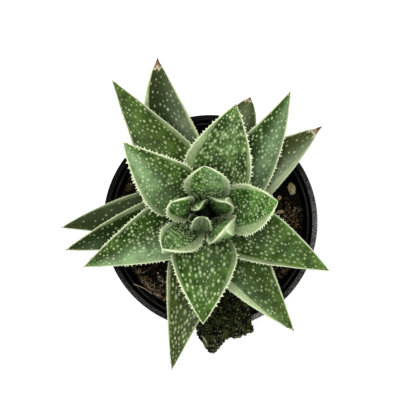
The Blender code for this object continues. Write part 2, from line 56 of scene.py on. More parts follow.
POT_HEIGHT = 0.089
RIM_RADIUS = 0.051
RIM_LIP_HEIGHT = 0.0021
LIP_INNER_RADIUS = 0.0486
LIP_INNER_DEPTH = 0.003
COLLAR_RADIUS = 0.0498
COLLAR_INNER_RADIUS = 0.0483
COLLAR_DRAFT = 0.0002
COLLAR_Z = POT_HEIGHT - 0.009
SHOULDER_RADIUS = 0.048
LEDGE_RADIUS = 0.0466
LEDGE_ROUNDING = 0.00045
EDGE_ROUNDING = 0.0003
FOOT_RADIUS = 0.037
FOOT_ROUNDING = 0.0008
FOOT_CENTRE_RADIUS = 0.029
WALL = 0.0012
FLOOR = 0.0016
POT_STEPS = 192
WELD = 0.000002

DRAIN_HOLES = 8
DRAIN_RADIUS = 0.004
DRAIN_LENGTH = 0.014
DRAIN_Z = 0.002
DRAIN_TILT = math.radians(45.0)
DRAIN_STEPS = 32
# Rings of points above the drain holes, which keep the faces there short
DRAIN_RINGS = (0.009, 0.04)

# Beads of the rim, from the outer one in: radius and drop of the middle, size, and the angles of the arc
RIM_BEADS = (
    (RIM_RADIUS - 0.4 * MM, 0.4 * MM, 0.4 * MM, 0, 140),
    (RIM_RADIUS - 1.25 * MM, 0.35 * MM, 0.3 * MM, 30, 150),
    (LIP_INNER_RADIUS + 0.3 * MM, 0.3 * MM, 0.3 * MM, 50, 180),
)
# Dusty stretches of the rim: azimuth and spread in degrees, and how dusty
RIM_DUST = ((-63.0, 7.0, 1.0), (-10.0, 30.0, 0.55), (-130.0, 25.0, 0.15))
DUST_LEAST = 0.02

SOIL_Z = POT_HEIGHT - 0.0143
SOIL_LUMP = 0.0012
SOIL_LUMP_SIZE = 0.007
SOIL_GRIT = 0.0006
SOIL_GRIT_SIZE = 0.0016
SOIL_GRIT_SEED = 0.3
SOIL_CALM = 0.004
SOIL_STEPS = 260
SOIL_RINGS = 88
CRUMBS = 2200

# Drifts of bark and roots on the soil: ends in millimetres from the pot's axis, numbers of crumbs and of
# fibres, and how far they stray to the sides
Drift = namedtuple("Drift", "start end crumbs fibres stray")

DRIFTS = (
    Drift((-37.8, -20.5), (-30.0, -31.5), 360, 44, 1.4),
    Drift((-30.0, -31.5), (-22.5, -38.5), 260, 26, 1.3),
    Drift((-24.0, -27.5), (-22.5, -34.0), 70, 12, 0.9),
    Drift((38.0, 8.0), (41.0, -9.0), 300, 20, 3.0),
    Drift((33.0, -20.0), (37.0, -25.0), 220, 14, 2.8),
    Drift((-41.0, 11.0), (-37.0, 21.0), 130, 8, 2.4),
)
# Single bits that stand out: place and half length in millimetres, how brown and how pale
SOIL_BITS = (
    (-33.0, -29.2, 0.6, 0.0, 0.9),
    (-23.4, -29.0, 0.65, 0.0, 1.0),
    (-26.2, -36.2, 0.5, 0.0, 0.9),
    (-24.6, -27.0, 0.35, 0.0, 0.7),
    (-25.2, -36.0, 0.9, 1.0, 0.25),
    (37.8, -1.6, 1.1, 0.8, 0.7),
    (36.0, 3.0, 0.7, 0.8, 0.4),
    (34.0, -21.0, 1.2, 0.9, 0.35),
)
# Ends of the straw that leans on the pot's wall and of the one on the clod, in millimetres
STRAW = ((-37.3, -29.5, 86.8), (-27.8, -35.8, 76.8))
CLOD_STRAW = ((-4.0, -53.6, 92.0), (-1.6, -57.2, 92.0))
STRAND_SIDES = 5

CLOD_VOXEL = 0.0006
CLOD_CRUMBS = 3400
MOSS_PATCHES = 1.0 / 0.003
GRAIN_VOXEL = 0.00025

STEM_X = -0.0025
STEM_Y = 0.0045
STEM_ROOT_DEPTH = 0.016
STEM_SOIL_RADIUS = 0.0085
STEM_TOP_RADIUS = 0.0022
STEM_TOP = 0.0268

# The leaf's section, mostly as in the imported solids
FLAT_POWER = 2.5
FACET_SHARE_MOST = 0.6
FACET_SLOPE = 0.4
MARGIN_DROP = 0.0006
KEEL_ROUND = 1.3
KEEL_SHARP = 1.6
SLIM_HALF = 0.003
RIBS = 9

LEAF_LINE_STEPS = 240
HOOK_START = 0.4
STATION_LENGTH = 0.0006
BLADE_COLUMNS = 26
FACET_COLUMNS = 6
KEEL_COLUMNS = 18
# A section's columns run from the right margin over the upper face to the left one and back along the keel
KEEL_FIRST = 2 * FACET_COLUMNS + BLADE_COLUMNS + 1
MARGIN_BEAD = 0.00022

# Unevenness of the skin: bulges and creases per metre, and their heights
SKIN_SEED = 11.9
BULGES = 130.0
BULGE_HEIGHT = 0.00016
CREASES = 900.0
CREASE_HEIGHT = 0.00005
DRY_CREASE_HEIGHT = 0.0003

WART_SIDES = 9
# Rings of a wart, from the foot up: breadth, rise and paleness
WART_RINGS = ((1.3, -0.15, 0.0), (0.95, 0.35, 0.3), (0.5, 0.85, 0.8))
WART_HEIGHT = 0.3
WART_LAST = 0.97
# Points of a tooth along, across and out from the margin: its two rings and its end, as shares of its length
TOOTH_FOOT = ((-0.675, -0.3, 0.0), (0.0, -0.3, 0.297), (0.675, -0.3, 0.0), (0.0, -0.3, -0.297))
TOOTH_MIDDLE = ((-0.275, 0.4, 0.0), (0.1, 0.4, 0.165), (0.475, 0.4, 0.0), (0.1, 0.4, -0.165))
TOOTH_END = (0.4, 1.0, 0.0)
TOOTH_PITCH = 0.0017
TOOTH_LENGTH = 0.0011
TOOTH_LEAST = 0.00015
TOOTH_LAST = 0.975

# azimuth, reach: the tip, from the stem's axis, counter-clockwise from +X
# height: the tip above the rim; base: the leaf's foot above the soil
# foot_azimuth: where it leaves the stem; arch, sweep: its bow up and to the left, seen from the stem
# width, thickness: the blade's largest; belly: where it is widest, 0 to 1
# sharp: 1 is a straight taper, 2 a blunt one; foot: its width at the foot as a share of the largest
# left_edge, right_edge: width of the pale bevelled facet along each margin
Leaf = namedtuple(
    "Leaf",
    "azimuth reach height base foot_azimuth arch sweep "
    "width thickness belly sharp foot left_edge right_edge",
)

LEAVES = {
    "leaf_01": Leaf(186, 67.7, 11, 3.1, 181, 4, -2, 23, 5, 0.3, 1.3, 0.4, 0.8, 1.6),
    "leaf_02": Leaf(68.5, 57.8, 11, 3.1, 68, 1, 0, 18, 3.2, 0.45, 3.2, 0.45, 0.8, 0.9),
    "leaf_03": Leaf(258, 75.1, 11, 3.4, 262, 5, 0, 25, 5, 0.3, 1.3, 0.4, 0.7, 1.4),
    "leaf_04": Leaf(107, 74.8, 15, 7.3, 105, 5, 5, 26, 5.5, 0.3, 2, 0.4, 3.4, 0.9),
    "leaf_05": Leaf(36.5, 66.8, 18, 7.2, 36, 5, 0, 24, 5, 0.3, 1.6, 0.4, 1.4, 3),
    "leaf_06": Leaf(195, 66.6, 17, 7.5, 195, 5, -1, 24, 5, 0.3, 1.3, 0.4, 1, 2.2),
    "leaf_07": Leaf(307, 68.5, 15, 7.8, 305, 6, -1, 28, 5.5, 0.32, 1.3, 0.4, 0.7, 4),
    "leaf_08": Leaf(55, 66.9, 29, 10.1, 51, 6, -4, 26, 5, 0.32, 1.3, 0.38, 2, 1.4),
    "leaf_09": Leaf(125, 73.4, 25, 13.2, 127, 6, 0, 28, 5.5, 0.3, 1.2, 0.38, 0.6, 2),
    "leaf_10": Leaf(335, 61.8, 27, 13.2, 335, 5, 1, 27, 5.2, 0.32, 1.4, 0.38, 0.7, 1.8),
    "leaf_11": Leaf(204, 60.1, 25.5, 10.7, 206, 6, 0, 27, 5.5, 0.32, 1.3, 0.38, 1.8, 1.4),
    "leaf_12": Leaf(269, 48.8, 36, 15.3, 269, 4, 0, 30, 5.5, 0.38, 1.5, 0.38, 1.9, 1.3),
    "leaf_13": Leaf(74, 49.5, 38, 15.6, 75, 5, 0, 31, 5.5, 0.38, 1.7, 0.38, 3.8, 1.3),
    "leaf_14": Leaf(139, 47.1, 42, 19, 141, 4, 2, 26, 5, 0.38, 1.4, 0.36, 1.6, 1.2),
    "leaf_15": Leaf(9, 32.1, 42, 18.7, 4, 1, -1, 23.5, 4.4, 0.42, 1.9, 0.36, 1.8, 4),
    "leaf_16": Leaf(220, 24.5, 35, 19.8, 234, 0.9, 1.6, 18, 6, 0.54, 2, 0.3, 3, 2.4),
    "leaf_17": Leaf(321, 10.8, 36, 20.4, 313, -0.8, -0.5, 16.5, 6.2, 0.58, 2.2, 0.2, 3.4, 1.5),
    "leaf_18": Leaf(91, 20.6, 38, 21, 88, 2, -1, 20.5, 4, 0.5, 2.2, 0.35, 2.6, 2.2),
    "leaf_19": Leaf(162, 15.1, 36, 22.4, 177, 1.5, 1.3, 13.4, 4.2, 0.62, 2.6, 0.18, 2.8, 1.2),
    "leaf_20": Leaf(28, 9.9, 36, 23.8, 30, 0, -1.3, 11.4, 4.2, 0.55, 2.4, 0.26, 1.8, 1.4),
    "leaf_21": Leaf(228, 1.8, 38, 24.8, 257, -2.8, 0, 8.6, 2.3, 0.62, 3, 0.18, 0.6, 0.6),
    "leaf_22": Leaf(200, 7.9, 31, 24.4, 215, 0, 0.2, 3.8, 1.2, 0.55, 2.2, 0.26, 0.9, 0.9),
    "leaf_23": Leaf(149, 3.1, 35, 26.4, 102, -0.8, 0, 7.2, 2.3, 0.6, 2.2, 0.24, 1.2, 1.2),
}

# hook, lean: how far the tip curls in over the rosette and bends to the left, in mm
# twist: degrees that the blade turns about itself by the tip
# round: 1 is a pointed outline, larger is rounder
# belly, foot: where the keel is deepest, and its depth at the foot as a share of that
# blunt: 1 is a plain keel; aside: where its ridge lies, from -1 at the right margin to 1 at the left
# crown: how far the blade bulges up, as a share of half its width; ribs: height of the back's ribs in mm
# pale_back: how pale the back's left side is near the tip
Tip = namedtuple(
    "Tip", "hook lean twist round belly foot blunt aside crown ribs pale_back", defaults=(0.0, 0.0)
)

PLAIN_TIP = Tip(0, 0, 0, 1, 0.35, 0.6, 1, 0, -0.08)
TIPS = {
    "leaf_15": Tip(0, 0, 0, 1, 0.5, 0.5, 1.5, -0.3, -0.05),
    "leaf_16": Tip(1, 4, 28, 1, 0.7, 0.3, 3.2, 0.2, 0.12),
    "leaf_17": Tip(2.5, 0, 0, 1.2, 0.7, 0.3, 3.4, 0.1, 0.25, 0, 0.9),
    "leaf_18": Tip(0, 0, 0, 1, 0.6, 0.35, 1.8, 0.1, 0.1),
    "leaf_19": Tip(2.4, -4, -50, 1.3, 0.7, 0.3, 2.8, 0.3, 0.14, 0, 0.3),
    "leaf_20": Tip(2, 0, 52, 1.2, 0.7, 0.3, 3.2, -0.45, 0.2, 0, 0.3),
    "leaf_21": Tip(7, 0, 42, 2.6, 0.6, 0.4, 1.2, 0, 0.1, 0.12, 0),
    "leaf_22": Tip(0.5, 0, -30, 1, 0.6, 0.4, 2, 0, 0.2),
    "leaf_23": Tip(1, 0, -15, 1.2, 0.6, 0.4, 2.6, 0.2, 0.5),
}

# olive: from fresh green, 0, to dark old olive, 1
# gap, fade: mean spacing of the warts in mm, and how much they thin out towards the tip
# size, stretch, tone: the warts' radius in mm, their length over their breadth, and how pale they are
# bloom, bloom_along, bloom_across: strength and middle of a pale patch, partly the skin's waxen coat and
# partly painted sheen, across from -1 right to 1 left
# dry: length of the dried brown tip in mm; toothed: the share of the length with teeth
# rim, facet: how pale the margins and the facets beside them are; the facets' paleness is partly paler edge
# tissue and partly painted sheen
# deep, dark, lit: how strong the painted shade is by the blade's foot, and between which shares of its
# length that fades
Look = namedtuple(
    "Look",
    "olive gap fade size stretch tone bloom bloom_along bloom_across dry toothed rim facet deep dark lit",
)

LOOKS = {
    "leaf_01": Look(0.9, 4.4, 0.7, 0.36, 1.3, 0.5, 0.1, 0.5, -0.6, 2.2, 0.5, 0.45, 0.25, 0.9, 0.1, 2),
    "leaf_02": Look(0.9, 3.6, 0.3, 0.38, 1.2, 0.6, 0.6, 0.7, 0, 2.6, 0.6, 0.35, 0.25, 0.5, 0.1, 0.65),
    "leaf_03": Look(0.5, 2.8, 0.2, 0.44, 2, 0.8, 0.25, 0.4, 0.6, 0.6, 0.5, 0.6, 0.55, 0.5, 0.1, 0.65),
    "leaf_04": Look(0.85, 3.8, 0.1, 0.4, 1.4, 0.7, 0.55, 0.45, -0.85, 5.5, 0.7, 0.5, 0.95, 1, 0.1, 1.8),
    "leaf_05": Look(0.8, 3.8, 0.2, 0.38, 1.3, 0.6, 0.7, 0.6, -0.8, 6.5, 0.5, 0.45, 0.55, 0.8, 0.1, 1.1),
    "leaf_06": Look(0.75, 3.2, 0.2, 0.4, 1.4, 0.6, 0.1, 0.7, 0.6, 1.5, 0.6, 0.55, 0.3, 1, 0.5, 2.2),
    "leaf_07": Look(0.35, 2.6, 0.6, 0.44, 1.4, 0.6, 0.2, 0.6, -0.8, 1.8, 0.55, 0.6, 1, 0.8, 0.1, 1.2),
    "leaf_08": Look(0.15, 3, 0.1, 0.44, 1.4, 0.8, 0.6, 0.7, -0.5, 0.8, 0.7, 0.8, 0.4, 1, 0.2, 1.5),
    "leaf_09": Look(0.45, 2.9, 0.4, 0.42, 1.3, 0.9, 0.2, 0.3, 0.5, 0.8, 0.8, 0.55, 0.4, 0.4, 0.1, 0.5),
    "leaf_10": Look(0.2, 2.7, 0.3, 0.46, 1.4, 0.75, 0.1, 0.5, 0, 1.2, 0.55, 0.7, 0.45, 0.7, 0.1, 0.9),
    "leaf_11": Look(0.15, 2.5, 0.2, 0.44, 1.3, 0.95, 0.8, 0.6, 0.7, 1.2, 0.7, 0.8, 0.4, 0.8, 0.1, 1.1),
    "leaf_12": Look(0.05, 2.9, 0.35, 0.48, 1.7, 1, 0.15, 0.5, 0.2, 0.4, 0.85, 0.9, 0.45, 0.6, 0.1, 0.8),
    "leaf_13": Look(0, 2.5, 0, 0.5, 1.5, 0.95, 0.2, 0.75, -0.2, 0.8, 0.95, 1, 0.65, 0.7, 0.1, 0.7),
    "leaf_14": Look(0.05, 2.7, 0.1, 0.48, 1.3, 0.95, 0.9, 0.8, 0.4, 0.6, 0.9, 1, 0.5, 0.7, 0.1, 0.7),
    "leaf_15": Look(0, 2.4, 0, 0.48, 1.3, 1, 0.1, 0.5, 0, 0.6, 0.95, 1, 0.9, 0.9, 0.1, 0.85),
    "leaf_16": Look(0, 2, 0, 0.4, 1.7, 0.9, 0.2, 0.9, 0, 0, 1, 1, 0.9, 0.9, 0.4, 0.95),
    "leaf_17": Look(0, 2, 0, 0.38, 1.3, 0.9, 0.2, 0.9, 0, 0, 1, 1, 0.9, 1, 0.45, 0.95),
    "leaf_18": Look(0, 2.6, 0, 0.56, 1.2, 1, 0.6, 0.75, -0.4, 0, 1, 1, 0.9, 0.8, 0.35, 0.65),
    "leaf_19": Look(0, 2.6, 0, 0.46, 1.2, 1, 0.2, 0.9, 0, 0, 1, 1, 1, 1, 0.45, 0.75),
    "leaf_20": Look(0.05, 2.6, 0, 0.32, 1.2, 0.6, 0.3, 0.9, 0, 0, 1, 0.9, 0.6, 1, 0.45, 0.8),
    "leaf_21": Look(0.45, 3, 0, 0.25, 1.2, 0.4, 0, 0.5, 0, 0, 1, 0.9, 0.2, 1, 0.6, 1.8),
    "leaf_22": Look(0.25, 2.6, 0, 0.25, 1.2, 0.5, 0.1, 0.5, 0, 0, 1, 0.6, 0.3, 1, 0.6, 1.1),
    "leaf_23": Look(0.2, 2.6, 0, 0.28, 1.2, 0.5, 0.1, 0.5, 0, 0, 1, 0.8, 0.5, 1, 0.55, 1),
}

CAMERA_PLACE = (-0.00114, 0.0067, 0.539)
CAMERA_LENS = 81.9
LIGHT_PLACE = (-0.12, 0.12, 1.3)
LIGHT_TARGET = (0.0, 0.0, 0.1)
LIGHT_POWER = 16.0
LIGHT_SIZE = 0.8
WORLD_STRENGTH = 0.42
FLOOR_SIZE = 60.0
FLOOR_SHADE = (0.92, 0.92, 0.92, 1.0)
FLOOR_GLOW = 0.36
WHITE = (1.0, 1.0, 1.0, 1.0)


def srgb(*shades):
    """A shader colour from the 0 to 255 values that a screen shows."""
    linear = [c / 255 / 12.92 if c < 11 else ((c / 255 + 0.055) / 1.055) ** 2.4 for c in shades]
    return (*linear, 1.0)


def unit(vectors):
    return vectors / np.maximum(np.linalg.norm(vectors, axis=-1, keepdims=True), 1e-12)


def between(a, b, share):
    return a * (1.0 - share) + b * share


def heading(degrees):
    """The level unit vector at an azimuth."""
    turn = math.radians(degrees)
    return np.array((math.cos(turn), math.sin(turn), 0.0))


def smooth_step(values, low, high):
    share = np.clip((values - low) / max(high - low, 1e-9), 0.0, 1.0)
    return share * share * (3.0 - 2.0 * share)


def bumps(points, fineness, seed=Vector()):
    """Smooth noise at each of the points."""
    return np.array([noise.noise(Vector(point) * fineness + seed) for point in points])


def rugged(place, size, calm=0.8):
    """Noise with finer noise on it, at one place."""
    return noise.fractal(Vector(place) / size, calm, 2.1, 3)


def grid_faces(rows, columns):
    """Quads between the rows of a grid of points, whose last column joins its first."""
    here = np.arange((rows - 1) * columns)
    following = here - here % columns + (here + 1) % columns
    return np.stack([here, here + columns, following + columns, following], axis=1)


def fan(first, count, apex):
    """Triangles from a ring of points to one point."""
    side = np.arange(count)
    return np.stack([first + side, first + (side + 1) % count, np.full(count, apex)], axis=1)


def spindle_faces(rows, columns):
    """Faces of a grid that is closed by a point at each end. The two points come after the grid's."""
    pole = rows * columns
    last = pole - columns
    return [grid_faces(rows, columns), fan(0, columns, pole), fan(last, columns, pole + 1)[:, ::-1]]


def circle(steps):
    """Cosines and sines of angles evenly spaced round a circle."""
    angle = np.linspace(0.0, TURN, steps, endpoint=False)
    return np.stack([np.cos(angle), np.sin(angle)], axis=1)


def placed(name, data):
    """A new object in the scene that holds the data."""
    obj = bpy.data.objects.new(name, data)
    bpy.context.scene.collection.objects.link(obj)
    return obj


def apply_modifiers(obj):
    bpy.context.view_layer.update()
    mesh = bpy.data.meshes.new_from_object(obj.evaluated_get(bpy.context.evaluated_depsgraph_get()))
    obj.modifiers.clear()
    obj.data = mesh


class Shape:
    """Points, faces and point masks of a mesh made of several parts."""

    def __init__(self, *masks):
        self.points = []
        self.faces = []
        self.masks = {mask: [] for mask in masks}
        self.count = 0

    def add(self, points, faces, **values):
        points = np.asarray(points, float).reshape(-1, 3)
        for part in faces:
            self.faces += (np.asarray(part) + self.count).tolist()
        self.points.append(points)
        for mask, parts in self.masks.items():
            parts.append(np.broadcast_to(values.get(mask, 0.0), (len(points),)).astype(float))
        self.count += len(points)

    def piece(self, name, material, node=None):
        """Makes the object, which rides on the one body and may replace a node."""
        mesh = bpy.data.meshes.new(name)
        mesh.from_pydata(np.concatenate(self.points).tolist(), [], self.faces)
        mesh.validate()
        for mask, parts in self.masks.items():
            mesh.attributes.new(mask, "FLOAT", "POINT").data.foreach_set("value", np.concatenate(parts))
        mesh.shade_smooth()
        mesh.set_sharp_from_angle(angle=math.radians(60.0))
        mesh.materials.append(material)
        obj = placed(name, mesh)
        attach(obj, "root")
        if node:
            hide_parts(node)
        return obj


class Shader:
    """A Principled material. Most calls add a node to it and return a socket."""

    def __init__(self, name, roughness, specular=0.08):
        self.material = bpy.data.materials.new(name)
        self.material.use_nodes = True
        self.tree = self.material.node_tree
        self.principled = self.tree.nodes["Principled BSDF"]
        self.put(self.principled, {"Roughness": roughness, "Specular IOR Level": specular})

    def put(self, node, values):
        """Sets inputs of a node to numbers or colours, or joins them to sockets."""
        for name, value in values.items():
            if isinstance(value, bpy.types.NodeSocket):
                self.tree.links.new(value, node.inputs[name])
            else:
                node.inputs[name].default_value = value

    def node(self, kind, values):
        node = self.tree.nodes.new("ShaderNode" + kind)
        self.put(node, values)
        return node

    def mask(self, name):
        attribute = self.node("Attribute", {})
        attribute.attribute_name = name
        return attribute.outputs["Fac"]

    def texture(self, kind, values):
        place = self.node("TexCoord", {}).outputs["Object"]
        return self.node(kind, {"Vector": place, **values})

    def noise(self, scale, detail=3.0, roughness=0.55):
        values = {"Scale": scale, "Detail": detail, "Roughness": roughness}
        return self.texture("TexNoise", values).outputs["Fac"]

    def patches(self, low, high, *noise):
        """Noise whose values from low to high are spread from 0 to 1."""
        return self.range(self.noise(*noise), low, high)

    def math(self, operation, a, b):
        step = self.node("Math", {0: a, 1: b})
        step.operation = operation
        return step.outputs[0]

    def range(self, *values):
        """A socket's values from one number to another, spread from 0 to 1 or between two others."""
        return self.node("MapRange", dict(enumerate(values))).outputs[0]

    def mix(self, factor, a, b):
        step = self.node("Mix", {})
        step.data_type = "RGBA"
        self.put(step, {0: factor, 6: a, 7: b})
        return step.outputs[2]

    def finish(self, colour, height=None, depth=0.0003, roughness=None):
        """Joins up the colour, a bump of some depth and a roughness, and returns the material."""
        values = {"Base Color": colour}
        if height is not None:
            values["Normal"] = self.node("Bump", {"Height": height, "Distance": depth}).outputs["Normal"]
        if roughness is not None:
            values["Roughness"] = roughness
        self.put(self.principled, values)
        return self.material


def leaf_material(name, shade, green, olive, wax_and_sheen_colour, roughness):
    """Mottled skin; masks place its pale margins and facets (the facets partly painted sheen), warts, waxen
    patches that are partly painted sheen, painted shade by the leaves' feet and the dried tip.
    """
    shader = Shader(name, roughness, 0.05)
    cloud = shader.patches(0.36, 0.64, 170.0)
    blotch = shader.patches(0.4, 0.65, 520.0, 2.0)
    fine = shader.patches(0.3, 0.7, 1400.0, 2.0)
    broken = shader.range(blotch, 0.0, 1.0, 0.7, 1.0)
    colour = shader.mix(shader.math("MULTIPLY", cloud, broken), shade, green)
    aged = shader.mix(fine, olive, srgb(74, 80, 42))
    colour = shader.mix(shader.mask("olive"), colour, aged)
    # Painted shade: the blade is coloured darker towards its foot, where the leaves shade one another
    colour = shader.mix(shader.mask("deep"), colour, srgb(18, 34, 4))
    # Painted sheen: the pale patch is partly the skin's waxen coat and partly painted sheen where the leaves
    # catch the light
    wax_and_sheen_share = shader.math("MULTIPLY", shader.mask("bloom"), shader.range(cloud, 0.0, 1.0, 0.6, 1.0))
    colour = shader.mix(wax_and_sheen_share, colour, wax_and_sheen_colour)
    # The facets beside the margins are paler: partly paler edge tissue, partly a painted sheen where the
    # bevels catch the light
    pale = shader.math("MULTIPLY", shader.mask("facet"), broken)
    colour = shader.mix(pale, colour, srgb(198, 214, 164))
    colour = shader.mix(shader.mask("margin"), colour, srgb(226, 236, 194))
    colour = shader.mix(shader.mask("wart"), colour, srgb(208, 226, 172))
    dry = shader.mask("dry")
    colour = shader.mix(shader.range(dry, 0.0, 0.2), colour, srgb(184, 176, 142))
    tan = shader.mix(fine, srgb(98, 82, 58), srgb(156, 138, 104))
    colour = shader.mix(shader.range(dry, 0.3, 0.5), colour, tan)
    colour = shader.mix(shader.range(dry, 0.65, 1.0), colour, srgb(86, 66, 46))
    rough = shader.range(dry, 0.0, 0.4, roughness, 0.85)
    height = shader.math("ADD", fine, shader.noise(700.0, 2.0))
    return shader.finish(colour, height, 0.00006, rough)


def swell(shares, belly, start, power, blunt=1.0):
    """Rises from start at 0 to 1 at belly, then falls to 0 at 1, late and steeply where it is blunt."""
    rising = start + (1.0 - start) * np.sin(0.5 * math.pi * np.minimum(shares / belly, 1.0))
    falling = 1.0 - np.maximum((shares - belly) / (1.0 - belly), 0.0) ** power
    return np.where(shares < belly, rising, falling ** (1.0 / blunt))


def leaf_line(leaf, tip):
    """Control points of the centreline, a quadratic Bezier from stem to tip, and which way it curls."""
    stem = np.array((STEM_X, STEM_Y, 0.0))
    share = min(1.0, leaf.base * MM / STEM_TOP)
    out = STEM_SOIL_RADIUS + share * (STEM_TOP_RADIUS - STEM_SOIL_RADIUS) + 2.0 * GAP
    foot = stem + heading(leaf.foot_azimuth) * out + (0.0, 0.0, SOIL_Z + leaf.base * MM)
    end = stem + heading(leaf.azimuth) * (leaf.reach * MM) + (0.0, 0.0, POT_HEIGHT + leaf.height * MM)
    left = heading(leaf.foot_azimuth + 90.0)
    up = unit(np.cross(end - foot, left))
    middle = (foot + end) / 2.0 + 2.0 * MM * (leaf.arch * up + leaf.sweep * left)
    curl = MM * (tip.lean * heading(leaf.azimuth + 90.0) - tip.hook * heading(leaf.azimuth + tip.twist))
    return foot, middle, end - curl, curl


def leaf_frames(leaf, tip):
    """Shares of the length, the length, each section's centre, left and up, and the leaf's end."""
    foot, middle, end, curl = leaf_line(leaf, tip)
    t = np.linspace(0.0, 1.0, LEAF_LINE_STEPS + 1)[:, None]
    line = foot * (1.0 - t) ** 2 + middle * (2.0 * t * (1.0 - t)) + end * t * t
    line = line + curl * np.maximum((t - HOOK_START) / (1.0 - HOOK_START), 0.0) ** 2
    travelled = np.concatenate([[0.0], np.cumsum(np.linalg.norm(np.diff(line, axis=0), axis=1))])
    length = travelled[-1]
    shares = np.linspace(0.0, 1.0, int(length / STATION_LENGTH) + 1)
    centre = np.stack([np.interp(shares * length, travelled, line[:, axis]) for axis in range(3)], axis=1)
    along = unit(np.gradient(centre, axis=0))
    turn = np.radians(leaf.foot_azimuth + shares * (leaf.azimuth + tip.twist - leaf.foot_azimuth))
    left = np.stack([-np.sin(turn), np.cos(turn), 0.0 * turn], axis=1)
    left = unit(left - along * np.sum(left * along, axis=1, keepdims=True))
    up = np.cross(along, left)
    return shares[:-1], length, centre[:-1], left[:-1], up[:-1], centre[-1]


def facet_rise(edge, drop, out):
    """Height of a margin's facet from the blade, at 0, to the margin, at 1."""
    return -drop * out + 0.25 * FACET_SLOPE * edge * out * (out - 1.0)


def leaf_section(leaf, tip, look, shares):
    """Offsets across and up of every point of the sections, and masks for the pale facets and margins."""
    t = shares[:, None]
    full = swell(t, leaf.belly, leaf.foot, leaf.sharp, tip.round)
    half = 0.5 * leaf.width * MM * full
    slim = np.minimum(1.0, half / SLIM_HALF)
    keel = leaf.thickness * MM * swell(t, tip.belly, tip.foot, KEEL_SHARP, tip.blunt)
    keel = keel * slim ** (1.0 / tip.blunt**2)
    taper = full * (1.0 - 0.6 * smooth_step(t, 0.6, 0.95))
    widths = (leaf.right_edge * MM, leaf.left_edge * MM)
    edges = [np.minimum(width * taper, FACET_SHARE_MOST * half) for width in widths]
    right, left = edges
    right_drop, left_drop = [(MARGIN_DROP + FACET_SLOPE * edge) * slim for edge in edges]
    bead = MARGIN_BEAD * slim

    out = np.linspace(1.0, 0.0, FACET_COLUMNS + 1)[:-1] ** 0.8
    inward = out[::-1]
    blade = np.linspace(-1.0, 1.0, BLADE_COLUMNS)
    under = np.linspace(1.0, -1.0, KEEL_COLUMNS)
    blade_x = 0.5 * (right - left) + (half - 0.5 * (right + left)) * blade
    blade_z = tip.crown * half * (1.0 - np.abs(blade) ** FLAT_POWER)
    aside = under - tip.aside
    from_ridge = np.abs(aside) / (1.0 - np.sign(aside) * tip.aside)
    drop = np.where(under > 0.0, left_drop, right_drop) + bead
    keel_z = -drop - np.maximum(keel - drop, 0.1 * bead) * (1.0 - from_ridge**KEEL_ROUND)
    keel_z = keel_z + tip.ribs * MM * slim * np.cos(RIBS * math.pi * under) * (1.0 - under**4)
    offsets = (
        (right - half - right * out, facet_rise(right, right_drop - bead, out)),
        (blade_x, blade_z),
        (half - left + left * inward, facet_rise(left, left_drop - bead, inward)),
        (half + 0.5 * bead, -left_drop),
        (under * (half - 0.3 * bead), keel_z),
        (-half - 0.5 * bead, -right_drop),
    )
    across, high = [np.concatenate(parts, axis=1) for parts in zip(*offsets)]

    back = slice(KEEL_FIRST, -1)
    inset = np.maximum(half - np.abs(across), 0.0)
    edge = np.where(across > 0.0, left, right)
    # Paleness of the facets, partly painted sheen
    facet = look.facet * (1.0 - 0.45 * np.minimum(inset / np.maximum(edge, 0.1 * MM), 1.0))
    facet = facet * (inset < edge + 0.05 * MM)
    facet[:, KEEL_FIRST:] = 0.5 * look.facet * (1.0 - smooth_step(inset[:, KEEL_FIRST:], 0.5 * MM, 2.0 * MM))
    facet[:, back] = np.maximum(facet[:, back], tip.pale_back * smooth_step(t, 0.7, 0.85) * (aside > 0.0))
    if tip.ribs:
        facet[:, back] += 0.4 * np.cos(RIBS * math.pi * under) * smooth_step(t, 0.3, 0.8)
    rim = look.rim * (1.0 - smooth_step(inset, 0.1 * MM, 0.55 * MM))
    pale_ridge = np.exp(-((aside * half / (0.4 * MM)) ** 2)) * smooth_step(t, 0.78, 0.9)
    pale_ridge = look.rim * min(1.0, tip.blunt - 1.0) * pale_ridge
    rim[:, back] = np.maximum(0.7 * rim[:, back], pale_ridge)
    return across, high, np.clip(facet, 0.0, 1.0), rim


def on_grid(points, rows, columns):
    """Frames on a grid of points at fractional rows and columns: place, along, across and out."""
    row = np.clip(np.floor(rows).astype(int), 0, points.shape[0] - 2)
    column = np.clip(np.floor(columns).astype(int), 0, points.shape[1] - 2)
    a = (rows - row)[:, None]
    b = (columns - column)[:, None]
    near, far = points[row, column], points[row + 1, column]
    near_next, far_next = points[row, column + 1], points[row + 1, column + 1]
    place = between(between(near, far, a), between(near_next, far_next, a), b)
    along = unit(between(far - near, far_next - near_next, b))
    across = unit(between(near_next - near, far_next - far, a))
    out = unit(np.cross(along, across))
    return place, along, unit(np.cross(out, along)), out


def add_forms(shape, frames, scales, form, faces, **masks):
    """Copies of a small form, each on its own frame and with its own scale along, across and out."""
    place, *directions = frames
    points = place[:, None]
    for direction, scale, offsets in zip(directions, scales, np.transpose(form)):
        points = points + direction[:, None] * (scale[:, None] * offsets)[:, :, None]
    start = np.arange(len(place))[:, None, None] * len(form)
    shape.add(points, [(part + start).reshape(-1, part.shape[1]) for part in faces], **masks)


def add_warts(shape, frames, radius, stretch, tones, masks):
    """Low domes sunk a little into the surface, each a closed form."""
    form = [(size * x, size * y, rise) for size, rise, _ in WART_RINGS for x, y in circle(WART_SIDES)]
    shades = [tone for *_, tone in WART_RINGS for _ in range(WART_SIDES)] + [1.0]
    top = len(form)
    form.append((0.0, 0.0, 1.0))
    sides = grid_faces(len(WART_RINGS), WART_SIDES)[:, ::-1]
    faces = [sides, fan(top - WART_SIDES, WART_SIDES, top), np.arange(WART_SIDES)[::-1][None]]
    scales = (radius * stretch, radius, WART_HEIGHT * radius)
    masks = {mask: np.repeat(values, len(form)) for mask, values in masks.items()}
    add_forms(shape, frames, scales, form, faces, wart=np.outer(tones, shades).ravel(), **masks)


